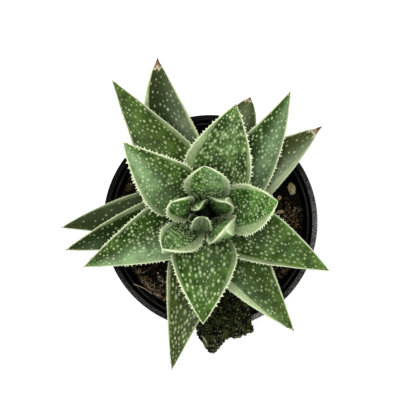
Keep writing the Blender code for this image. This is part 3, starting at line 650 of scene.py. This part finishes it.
def add_teeth(shape, frames, length, pale, olive):
    """Small flattened thorns that point outwards and lean towards the tip."""
    form = (*TOOTH_FOOT, *TOOTH_MIDDLE, TOOTH_END)
    faces = [grid_faces(2, 4), fan(4, 4, 8)[:, ::-1], np.arange(4)[None]]
    margin = np.tile([0.8] * 4 + [1.0] * 5, len(length)) * max(pale, 0.7)
    add_forms(shape, frames, (length,) * 3, form, faces, margin=margin, olive=olive)


def scatter_warts(chance, look, length, width_at, span):
    """Shares along the leaf and places across it, from -1 to 1, for warts in rough lengthwise rows."""
    spots = []
    gap = look.gap * MM
    rows = max(2, int(round(span / (0.8 * gap))))
    for row in range(rows):
        across = -1.0 + 2.0 * (row + 0.5) / rows
        at = chance.uniform(0.05, 0.1) * length
        while at < WART_LAST * length:
            share = at / length
            spot = (share, across + chance.uniform(-0.7, 0.7) / rows)
            keep = chance.random() < 1.0 - look.fade * share
            half = width_at(share)
            gaps = [math.hypot((share - s) * length, (spot[1] - w) * half) for s, w in spots[-60:]]
            if keep and min(gaps, default=gap) > 0.55 * gap:
                spots.append(spot)
            at += gap * chance.uniform(0.55, 1.5)
    spots = np.array(spots).reshape(-1, 2)
    spots = spots[np.abs(spots[:, 1]) < 1.0]
    if look.dry:
        spots = spots[spots[:, 0] * length < length - (look.dry + 1.0) * MM]
    return spots


def scatter_teeth(chance, look, length, width_at):
    """Shares along the leaf and lengths of the teeth of one margin."""
    teeth = []
    at = chance.uniform(0.06, 0.08) * length
    while at < TOOTH_LAST * length:
        share = at / length
        fade = 1.0 if share < look.toothed else max(0.0, 1.0 - (share - look.toothed) / 0.25)
        size = TOOTH_LENGTH * chance.uniform(0.45, 1.2) * fade * min(1.0, 0.4 + width_at(share) / (6.0 * MM))
        size *= 0.15 + 0.85 * look.rim**1.6
        if size > TOOTH_LEAST:
            teeth.append((share, size))
        at += TOOTH_PITCH * chance.uniform(0.55, 1.5)
    return np.array(teeth).reshape(-1, 2)


def leaf_surface(leaf, tip, look, frames):
    """The leaf's grid of points, creased where the tip has dried, and its masks."""
    shares, length, centre, left, up, _ = frames
    across, high, facet, rim = leaf_section(leaf, tip, look, shares)
    dry = look.dry * MM
    pinch = 1.0 - 0.25 * smooth_step(shares, 1.0 - 1.1 * dry / length, 1.0 - 0.5 * dry / length)[:, None]
    points = centre[:, None] + left[:, None] * (across * pinch)[:, :, None]
    points = points + up[:, None] * (high * pinch)[:, :, None]
    outward = unit(points - (centre - up * 0.3 * leaf.thickness * MM)[:, None])
    reach = np.abs(across).max(axis=1)[:, None]
    slim = np.minimum(1.0, reach / SLIM_HALF)
    seed = Vector((SKIN_SEED + leaf.azimuth, leaf.reach, 0.0))
    bulge = bumps(points.reshape(-1, 3), BULGES, seed).reshape(across.shape)
    crease = bumps(points.reshape(-1, 3), CREASES, seed).reshape(across.shape)
    dry_start = length - dry * (1.0 + 0.5 * bulge + 0.5 * crease)
    dried = np.clip((shares[:, None] * length - dry_start) / (0.7 * dry + 1e-9), 0.0, 1.0)
    relief = (BULGE_HEIGHT * bulge + CREASE_HEIGHT * crease) * slim + DRY_CREASE_HEIGHT * crease * dried

    t = shares[:, None]
    spread = across / np.maximum(reach, 1e-9)
    # A pale patch about a middle point, partly waxen coat and partly painted sheen; the back gets an even
    # share of it
    bloom = ((t - look.bloom_along) / 0.38) ** 2 + ((spread - look.bloom_across) / 0.55) ** 2
    bloom = look.bloom * np.exp(-bloom)
    bloom[:, KEEL_FIRST:] = 0.3 * look.bloom + 0.1
    # Painted shade, strongest by the foot and weaker towards the margins
    shadow = look.deep * (1.0 - smooth_step(t, look.dark, look.lit)) + 0.15 * bulge
    shadow = np.clip(shadow, 0.0, 1.0) * (1.0 - 0.5 * np.clip(np.abs(spread), 0.0, 1.0) ** 4)
    olive = np.clip(look.olive + 0.12 * bulge, 0.0, 1.0)
    masks = {"facet": facet, "margin": rim, "olive": olive, "bloom": bloom, "dry": dried, "deep": shadow}
    return points + outward * relief[:, :, None], masks


def build_leaf(name, leaf, tip, look, material):
    chance = random.Random(name)
    frames = leaf_frames(leaf, tip)
    shares, length, _, left, _, end = frames
    points, masks = leaf_surface(leaf, tip, look, frames)
    rows, columns = points.shape[:2]
    shape = Shape("facet", "margin", "wart", "olive", "bloom", "dry", "deep")
    tip_fan = fan((rows - 1) * columns, columns, rows * columns)[:, ::-1]
    faces = [grid_faces(rows, columns), tip_fan, np.arange(columns)[None]]
    at_tip = {mask: np.append(values.ravel(), values[-1].mean()) for mask, values in masks.items()}
    shape.add(np.concatenate([points.reshape(-1, 3), end[None]]), faces, **at_tip)

    full = swell(shares, leaf.belly, leaf.foot, leaf.sharp, tip.round)
    grown = np.minimum(1.0, 1.6 * full)

    def width_at(share):
        return 0.5 * leaf.width * MM * float(np.interp(share, shares, full))

    for first, count, spread in ((FACET_COLUMNS, BLADE_COLUMNS, 0.94), (KEEL_FIRST, KEEL_COLUMNS, 0.86)):
        share, aside = scatter_warts(chance, look, length, width_at, leaf.width * MM).T
        row = share * rows
        column = first + (0.5 + 0.5 * spread * aside) * (count - 1)
        sizes = [chance.choice((0.55, 0.8, 0.95, 1.05, 1.3)) * chance.uniform(0.85, 1.1) for _ in share]
        radius = 1.25 * look.size * MM * np.array(sizes) * (0.45 + 0.55 * np.interp(share, shares, grown))
        tones = look.tone * np.array([chance.uniform(0.35, 0.95) for _ in share]) * (0.7 + 0.3 * share)
        at = (np.clip(np.round(row).astype(int), 0, rows - 1), np.round(column).astype(int))
        # The warts take on the blade's masks beneath them, the painted shade among them
        under = {mask: 0.8 * masks[mask][at] for mask in ("facet", "olive", "bloom", "deep")}
        add_warts(shape, on_grid(points, row, column), radius, look.stretch, tones, under)

    for margin_column, side in ((columns - 1, -1.0), (KEEL_FIRST - 1, 1.0)):
        share, size = scatter_teeth(chance, look, length, width_at).T
        row = np.clip((share * rows).astype(int), 0, rows - 2)
        edge = points[:, margin_column]
        place = between(edge[row], edge[row + 1], (share * rows - row)[:, None])
        along = unit(edge[row + 1] - edge[row])
        aside = left[row] * side
        tooth_frames = (place, along, aside, unit(np.cross(aside, along)))
        add_teeth(shape, tooth_frames, size, look.rim, 0.3 * look.olive)
    shape.piece(f"{name}_skin", material, name)


def build_leaves():
    # Each: the darker and the lighter mottle, the olive, the colour of the waxen patch with its painted
    # sheen, and the roughness
    old = (srgb(28, 44, 6), srgb(76, 96, 34), srgb(38, 45, 14), srgb(138, 154, 122), 0.45)
    grown = (srgb(32, 56, 10), srgb(86, 120, 46), srgb(50, 60, 20), srgb(148, 180, 132), 0.45)
    young = (srgb(36, 74, 12), srgb(102, 148, 62), srgb(56, 72, 26), srgb(148, 184, 130), 0.42)
    colours = {"leaf_old": old, "leaf_grown": grown, "leaf_young": young}
    materials = {slot: leaf_material(f"{slot}_skin", *tones) for slot, tones in colours.items()}
    slots = {entry["node"]: entry["material_slot"] for entry in frame["record"]["subparts"]}
    for name, leaf in LEAVES.items():
        slot = slots[name]
        build_leaf(name, leaf, TIPS.get(name, PLAIN_TIP), LOOKS[name], materials[slot])


def arc(radius, height, size, start, end, steps=5):
    """Points of a rounded corner of a profile, from one angle in degrees to another."""
    angles = np.radians(np.linspace(start, end, steps))
    return [(radius + size * math.cos(a), height + size * math.sin(a)) for a in angles]


def revolved(profile):
    """Points and faces of a closed profile turned about the Z axis; its two ends lie on the axis."""
    radius, height = np.array(profile[1:-1]).T[:, :, None]
    x, y = circle(POT_STEPS).T
    rings = np.stack([radius * x, radius * y, height + 0.0 * x], axis=2)
    poles = [(0.0, 0.0, profile[0][1]), (0.0, 0.0, profile[-1][1])]
    return np.concatenate([rings.reshape(-1, 3), poles]), spindle_faces(len(radius), POT_STEPS)


def inner_radius(z):
    return FOOT_RADIUS - WALL + (LEDGE_RADIUS - FOOT_RADIUS + WALL) * z / COLLAR_Z


def pot_profile():
    """The pot's outside from the foot to the rim, and its inside back down to the floor."""
    rim_foot = POT_HEIGHT - RIM_LIP_HEIGHT
    lip_foot = POT_HEIGHT - LIP_INNER_DEPTH
    ledge = COLLAR_Z + WALL
    outside = [(0.0, 0.0), (FOOT_CENTRE_RADIUS, 0.0)]
    outside += arc(FOOT_RADIUS - FOOT_ROUNDING, FOOT_ROUNDING, FOOT_ROUNDING, -90, 0)
    outside += [(between(FOOT_RADIUS, SHOULDER_RADIUS, z / COLLAR_Z), z) for z in (*DRAIN_RINGS, COLLAR_Z)]
    collar_foot = COLLAR_RADIUS - COLLAR_DRAFT - EDGE_ROUNDING
    outside += arc(collar_foot, COLLAR_Z + EDGE_ROUNDING, EDGE_ROUNDING, -90, 0)
    outside += [(COLLAR_RADIUS, rim_foot)]
    outside += arc(RIM_RADIUS - EDGE_ROUNDING, rim_foot + EDGE_ROUNDING, EDGE_ROUNDING, -90, 0)
    for radius, drop, size, start, end in RIM_BEADS:
        outside += arc(radius, POT_HEIGHT - drop, size, start, end, 7)
    inside = [(LIP_INNER_RADIUS, lip_foot), (COLLAR_INNER_RADIUS, lip_foot - EDGE_ROUNDING)]
    inside += [(COLLAR_INNER_RADIUS, ledge + LEDGE_ROUNDING), (COLLAR_INNER_RADIUS - LEDGE_ROUNDING, ledge)]
    inside += arc(LEDGE_RADIUS + LEDGE_ROUNDING, ledge - LEDGE_ROUNDING, LEDGE_ROUNDING, 90, 180)
    inside += [(inner_radius(z), z) for z in (*reversed(DRAIN_RINGS), FLOOR)]
    inside += [(FOOT_CENTRE_RADIUS, FLOOR), (0.0, FLOOR)]
    return outside, inside


def pot_material():
    shader = Shader("black_plastic", 0.3, 0.04)
    scuff = shader.patches(0.55, 0.75, 420.0, 6.0, 0.7)
    speck = shader.patches(0.44, 0.62, 2300.0, 3.0, 0.7)
    colour = shader.mix(scuff, srgb(3, 3, 3), srgb(12, 12, 13))
    colour = shader.mix(shader.math("MULTIPLY", speck, shader.mask("dust")), colour, srgb(168, 166, 160))
    # Painted shade: the inside wall is coloured darker than the outside and without its scuffs
    colour = shader.mix(shader.mask("inside"), colour, srgb(2, 2, 2))
    rough = shader.range(shader.noise(240.0, 4.0), 0.3, 0.7, 0.24, 0.45)
    return shader.finish(colour, shader.noise(3000.0, 2.0), 0.00002, rough)


def drain_cutter(angle):
    """A cylinder that lies slanting across the edge of the foot."""
    place = (FOOT_RADIUS * math.cos(angle), FOOT_RADIUS * math.sin(angle), DRAIN_Z)
    turn = (0.0, DRAIN_TILT, angle)
    shape = {"vertices": DRAIN_STEPS, "radius": DRAIN_RADIUS, "depth": DRAIN_LENGTH}
    bpy.ops.mesh.primitive_cylinder_add(location=place, rotation=turn, **shape)
    return bpy.context.object


def build_pot():
    outside, inside = pot_profile()
    points, faces = revolved(outside + inside)
    # Points on the pot's inside, which the material paints darker as painted shade
    is_inside = np.arange(len(outside) + len(inside)) >= len(outside)
    is_inside = np.concatenate([np.repeat(is_inside[1:-1], POT_STEPS), is_inside[[0, -1]]])
    azimuth = np.degrees(np.arctan2(points[:, 1], points[:, 0]))
    on_rim = smooth_step(points[:, 2], POT_HEIGHT - 2.0 * MM, POT_HEIGHT - 0.5 * MM) * ~is_inside
    dust = sum(share * np.exp(-(((azimuth - turn) / spread) ** 2)) for turn, spread, share in RIM_DUST)
    shape = Shape("inside", "dust")
    shape.add(points, faces, inside=is_inside, dust=DUST_LEAST + on_rim * dust)
    pot = shape.piece("nursery_pot", pot_material(), "pot")
    cutters = [drain_cutter(TURN * (index + 0.5) / DRAIN_HOLES) for index in range(DRAIN_HOLES)]
    for cutter in cutters:
        cut = pot.modifiers.new("drain", "BOOLEAN")
        cut.operation = "DIFFERENCE"
        cut.object = cutter
    pot.modifiers.new("weld", "WELD").merge_threshold = WELD
    apply_modifiers(pot)
    for cutter in cutters:
        bpy.data.objects.remove(cutter, do_unlink=True)
    pot.data.shade_smooth()
    pot.data.set_sharp_from_angle(angle=math.radians(40.0))


def soil_height(x, y):
    lumps = rugged((x, y, 0.0), SOIL_LUMP_SIZE)
    grit = rugged((x, y, SOIL_GRIT_SEED), SOIL_GRIT_SIZE, 0.7)
    from_stem = math.hypot(x - STEM_X, y - STEM_Y)
    calm = min(1.0, max(0.0, (from_stem - STEM_SOIL_RADIUS) / SOIL_CALM))
    return SOIL_Z + (SOIL_LUMP * lumps + SOIL_GRIT * grit) * calm


def earth_material(name, fineness, dark, tint, tinted, pale):
    """Fine dark grit with another colour where the tint's mask says so, and pale bits."""
    shader = Shader(name, 0.95)
    fine = shader.patches(0.3, 0.7, fineness, 4.0, 0.65)
    colour = shader.mix(shader.mask(tint), shader.mix(fine, *dark), shader.mix(fine, *tinted))
    colour = shader.mix(shader.mask("pale"), colour, pale)
    return shader.finish(colour, fine)


def build_bed(material, top_radius):
    """The potting mix: from the hole for the stem over its lumpy surface and down the pot's wall."""
    foot_z = FLOOR + GAP
    foot_radius = inner_radius(foot_z) - 1.5 * GAP
    hole_radius = STEM_SOIL_RADIUS + GAP
    around = circle(SOIL_STEPS)
    hole = (STEM_X, STEM_Y) + hole_radius * around
    grid = []
    for share in np.linspace(0.0, 1.0, SOIL_RINGS):
        spots = between(hole, top_radius * around, share)
        grid.append([(x, y, soil_height(x, y)) for x, y in spots])
    grid.insert(0, [(x, y, SOIL_Z - STEM_ROOT_DEPTH - GAP) for x, y in hole])
    grid.append([(x, y, foot_z) for x, y in foot_radius * around])
    ring = np.arange(SOIL_STEPS)[None]
    last = (len(grid) - 1) * SOIL_STEPS
    shape = Shape("bark", "pale")
    shape.add(grid, [grid_faces(len(grid), SOIL_STEPS), ring[:, ::-1], last + ring])
    shape.piece("potting_mix_bed", material, "potting_mix")


def stone_templates(subdivisions, count, knobbliness, seed):
    """Unit stones: icospheres pushed in and out by noise."""
    templates = []
    for index in range(count):
        bm = bmesh.new()
        bmesh.ops.create_icosphere(bm, subdivisions=subdivisions, radius=1.0)
        shift = Vector((seed, index * 3.1, 0.0))
        points = np.array([v.co * (1.0 + knobbliness * noise.noise(v.co * 1.6 + shift)) for v in bm.verts])
        faces = np.array([[v.index for v in f.verts] for f in bm.faces])
        bm.free()
        templates.append((points, faces))
    return templates


def add_stone(shape, template, place, half_size, turn, **masks):
    points, faces = template
    turned = (points * np.array(half_size)) @ np.array(turn.to_matrix()).T
    shape.add(turned + np.array(place), [faces], **masks)


def half_sizes(chance, size, *spans):
    return [size * chance.uniform(low, high) for low, high in spans]


def random_turn(chance, tilt):
    return Euler((chance.uniform(-tilt, tilt), chance.uniform(-tilt, tilt), chance.uniform(0.0, TURN)))


def bent_line(start, end, bend, points=9):
    """Points along a flat bow, whose rise is given as a share of its length."""
    share = np.linspace(0.0, 1.0, points)[:, None]
    run = np.array(end - start)
    aside = np.array((-run[1], run[0], 0.0))
    return np.array(start) + run * share + aside * (4.0 * bend * share * (1.0 - share))


def add_strand(shape, path, radius, **masks):
    """A thin straw or root along a path, pointed at both ends."""
    along = unit(np.gradient(path, axis=0))
    side = unit(np.cross(along, (0.0, 0.0, 1.0)))
    up = np.cross(side, along)
    x, y = circle(STRAND_SIDES).T[:, None, :, None]
    rings = path[1:-1, None] + radius * (side[1:-1, None] * x + up[1:-1, None] * y)
    points = np.concatenate([rings.reshape(-1, 3), path[:1], path[-1:]])
    shape.add(points, spindle_faces(len(rings), STRAND_SIDES), **masks)


def add_drift(shape, chance, drift, top_radius, templates):
    """Brown crumbs and fibres strewn along a drift."""
    start, end = Vector(drift.start) * MM, Vector(drift.end) * MM
    run = (end - start).normalized()
    aside = Vector((-run.y, run.x))

    def spot(margin):
        place = start.lerp(end, chance.uniform(-0.1, 1.1)) + aside * chance.gauss(0.0, drift.stray * MM)
        return place * min(1.0, (top_radius - margin) / place.length)

    for _ in range(drift.crumbs):
        size = chance.choice((0.2, 0.3, 0.3, 0.45, 0.7)) * MM * chance.uniform(0.8, 1.2)
        x, y = spot(1.3 * size)
        half = half_sizes(chance, size, (0.9, 1.6), (0.5, 0.9), (0.4, 0.7))
        place = (x, y, soil_height(x, y) + chance.uniform(0.2, 0.9) * MM)
        tone = {"bark": chance.choice((0.0, 0.0, 0.25, 0.6, 1.0))}
        tone["pale"] = chance.choice((0.0, 0.0, 0.0, 0.0, 0.0, 0.25))
        add_stone(shape, chance.choice(templates), place, half, random_turn(chance, 1.0), **tone)
    for _ in range(drift.fibres):
        length = chance.uniform(1.6, 4.2) * MM
        x, y = spot(0.5 * length + 0.3 * MM)
        turn = math.atan2(run.y, run.x) + chance.gauss(0.0, 0.6)
        half_run = Vector((math.cos(turn), math.sin(turn), chance.uniform(-0.15, 0.15))) * (0.5 * length)
        middle = Vector((x, y, soil_height(x, y) + chance.uniform(0.6, 1.3) * MM))
        path = bent_line(middle - half_run, middle + half_run, chance.gauss(0.0, 0.1), 7)
        tone = {"bark": chance.uniform(0.4, 1.0), "pale": chance.choice((0.0, 0.1, 0.35))}
        add_strand(shape, path, chance.uniform(0.08, 0.16) * MM, **tone)


def build_crumbs(material, top_radius):
    """Loose crumbs, bark bits, roots and a straw on the soil."""
    chance = random.Random("potting mix")
    shape = Shape("bark", "pale")
    small = stone_templates(1, 8, 0.5, 2.0)
    large = stone_templates(2, 6, 0.6, 5.0)
    for _ in range(CRUMBS):
        radius = top_radius * math.sqrt(chance.uniform(0.06, 0.97))
        turn = chance.uniform(0.0, TURN)
        size = chance.choice((0.35, 0.5, 0.5, 0.7, 0.7, 1.0, 1.5)) * MM * chance.uniform(0.7, 1.2)
        radius = min(radius, top_radius - 1.3 * size)
        x, y = radius * math.cos(turn), radius * math.sin(turn)
        half = half_sizes(chance, size, (0.8, 1.3), (0.6, 1.0), (0.5, 0.8))
        template = chance.choice(large if size > 0.8 * MM else small)
        pale = 0.8 if chance.random() < 0.006 and size < 0.8 * MM else 0.0
        bark = chance.choice((0.0, 0.0, 0.0, 0.05, 0.2))
        place = (x, y, soil_height(x, y) + 0.3 * size)
        add_stone(shape, template, place, half, random_turn(chance, 0.6), bark=bark, pale=pale)
    for drift in DRIFTS:
        add_drift(shape, chance, drift, top_radius, small)
    for x, y, half_length, bark, pale in SOIL_BITS:
        place = (x * MM, y * MM, soil_height(x * MM, y * MM) + 0.7 * MM)
        half = half_length * MM * np.array((1.0, 0.6, 0.5))
        add_stone(shape, chance.choice(large), place, half, random_turn(chance, 0.4), bark=bark, pale=pale)
    straw = bent_line(Vector(STRAW[0]) * MM, Vector(STRAW[1]) * MM, 0.06)
    add_strand(shape, straw, 0.26 * MM, bark=1.0, pale=0.45)
    shape.piece("potting_mix_crumbs", material)


def build_soil():
    # The grit is near black, partly painted shade: it also stands for the shade that falls over the soil
    # inside the pot
    dark = (srgb(4, 3, 1), srgb(20, 15, 10))
    brown = (srgb(46, 34, 18), srgb(140, 114, 74))
    pale = srgb(206, 196, 170)
    material = earth_material("potting_mix_crumbs", 1800.0, dark, "bark", brown, pale)
    top_radius = inner_radius(SOIL_Z) - 1.5 * GAP
    build_bed(material, top_radius)
    build_crumbs(material, top_radius)


def build_stem():
    """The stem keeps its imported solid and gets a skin."""
    shader = Shader("stem_skin", 0.7)
    rings = shader.patches(0.3, 0.7, 900.0)
    colour = shader.mix(rings, srgb(8, 13, 4), srgb(20, 30, 9))
    materials = frame["nodes"]["stem"].data.materials
    materials.clear()
    materials.append(shader.finish(colour, rings))


def refined(node, voxel):
    """Points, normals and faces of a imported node's form as an even fine mesh."""
    obj = placed("refined", frame["nodes"][node].data.copy())
    remesh = obj.modifiers.new("even", "REMESH")
    remesh.mode = "VOXEL"
    remesh.voxel_size = voxel
    apply_modifiers(obj)
    points = np.array([v.co for v in obj.data.vertices])
    normals = np.array([v.normal for v in obj.data.vertices])
    faces = [[*p.vertices] for p in obj.data.polygons]
    bpy.data.objects.remove(obj, do_unlink=True)
    return points, normals, faces


def build_clod():
    """The mossy crust: crumbs and tufts on a lumpy core, which stays smooth where it lies on the rim."""
    chance = random.Random("clod")
    points, normals, faces = refined("mossy_clod", CLOD_VOXEL)
    radius = np.hypot(points[:, 0], points[:, 1])
    above = points[:, 2] > POT_HEIGHT + 1.4 * MM
    free = above | (radius < LEDGE_RADIUS - 2.1 * MM) | (radius > RIM_RADIUS + 1.8 * MM)
    lumps = np.array([rugged(point, 2.2 * MM) for point in points])
    points = points + normals * (0.7 * MM * lumps * free)[:, None]
    shape = Shape("moss", "pale")
    shape.add(points, [faces], moss=np.clip(1.2 * bumps(points, MOSS_PATCHES), 0.0, 0.5))
    small = stone_templates(1, 8, 0.5, 12.0)
    spots = np.flatnonzero(free).tolist()
    for index in chance.sample(spots, min(len(spots), CLOD_CRUMBS)):
        size = chance.uniform(0.2, 0.6) * MM
        half = (size, *half_sizes(chance, size, (0.6, 1.0), (0.5, 0.9)))
        place = points[index] + normals[index] * 0.3 * size
        moss = chance.choice((0.0, 0.0, 0.2, 0.5, 0.9))
        outer = smooth_step(radius[index], RIM_RADIUS, RIM_RADIUS + 6.0 * MM)
        pale = chance.uniform(0.2, 0.7) if chance.random() < 0.04 + 0.3 * outer else 0.0
        add_stone(shape, chance.choice(small), place, half, random_turn(chance, 1.5), moss=moss, pale=pale)
    straw = bent_line(Vector(CLOD_STRAW[0]) * MM, Vector(CLOD_STRAW[1]) * MM, 0.04)
    near = [np.argmin(np.hypot(*(points - spot)[:, :2].T) - 0.5 * points[:, 2]) for spot in straw]
    straw[:, 2] = points[near, 2] + 0.5 * MM
    add_strand(shape, straw, 0.32 * MM, moss=1.0, pale=0.9)
    dark = (srgb(3, 3, 1), srgb(18, 18, 9))
    mossy = (srgb(36, 46, 16), srgb(96, 106, 60))
    material = earth_material("moss_and_soil", 1500.0, dark, "moss", mossy, srgb(172, 168, 138))
    shape.piece("mossy_crust", material, "mossy_clod")


def build_grains():
    shader = Shader("pumice_skin", 0.9)
    cells = shader.texture("TexVoronoi", {"Scale": 1500.0}).outputs["Distance"]
    pits = shader.range(cells, 0.0, 0.5)
    fine = shader.patches(0.3, 0.7, 900.0, 4.0)
    colour = shader.mix(fine, srgb(120, 110, 74), srgb(176, 164, 122))
    colour = shader.mix(pits, srgb(70, 62, 38), colour)
    material = shader.finish(colour, pits, 0.0004)
    for name in ("pumice_grain_1", "pumice_grain_2", "pumice_grain_3"):
        points, normals, faces = refined(name, GRAIN_VOXEL)
        relief = np.array([0.18 * MM * rugged(point, MM) - 0.1 * MM for point in points])
        shape = Shape()
        shape.add(points + normals * relief[:, None], [faces])
        shape.piece(f"{name}_stone", material, name)


def build_stage():
    bpy.ops.mesh.primitive_plane_add(size=FLOOR_SIZE)
    floor = bpy.context.object
    floor.name = "floor"
    shader = Shader("pale_floor", 0.8)
    shader.put(shader.principled, {"Emission Color": WHITE, "Emission Strength": FLOOR_GLOW})
    floor.data.materials.append(shader.finish(FLOOR_SHADE))


def build_studio():
    scene = bpy.context.scene
    camera = bpy.data.cameras.new("camera")
    camera.lens = CAMERA_LENS
    scene.camera = placed("camera", camera)
    scene.camera.location = CAMERA_PLACE
    scene.world = bpy.data.worlds.new("studio")
    scene.world.use_nodes = True
    background = scene.world.node_tree.nodes["Background"]
    background.inputs["Color"].default_value = WHITE
    background.inputs["Strength"].default_value = WORLD_STRENGTH
    scene.view_settings.view_transform = "Standard"
    light = bpy.data.lights.new("softbox", "AREA")
    light.energy = LIGHT_POWER
    light.size = LIGHT_SIZE
    lamp = placed("softbox", light)
    lamp.location = LIGHT_PLACE
    lamp.rotation_euler = (Vector(LIGHT_TARGET) - Vector(LIGHT_PLACE)).to_track_quat("-Z", "Y").to_euler()


def main():
    build_studio()
    build_stage()
    build_pot()
    build_soil()
    build_clod()
    build_grains()
    build_stem()
    build_leaves()


main()
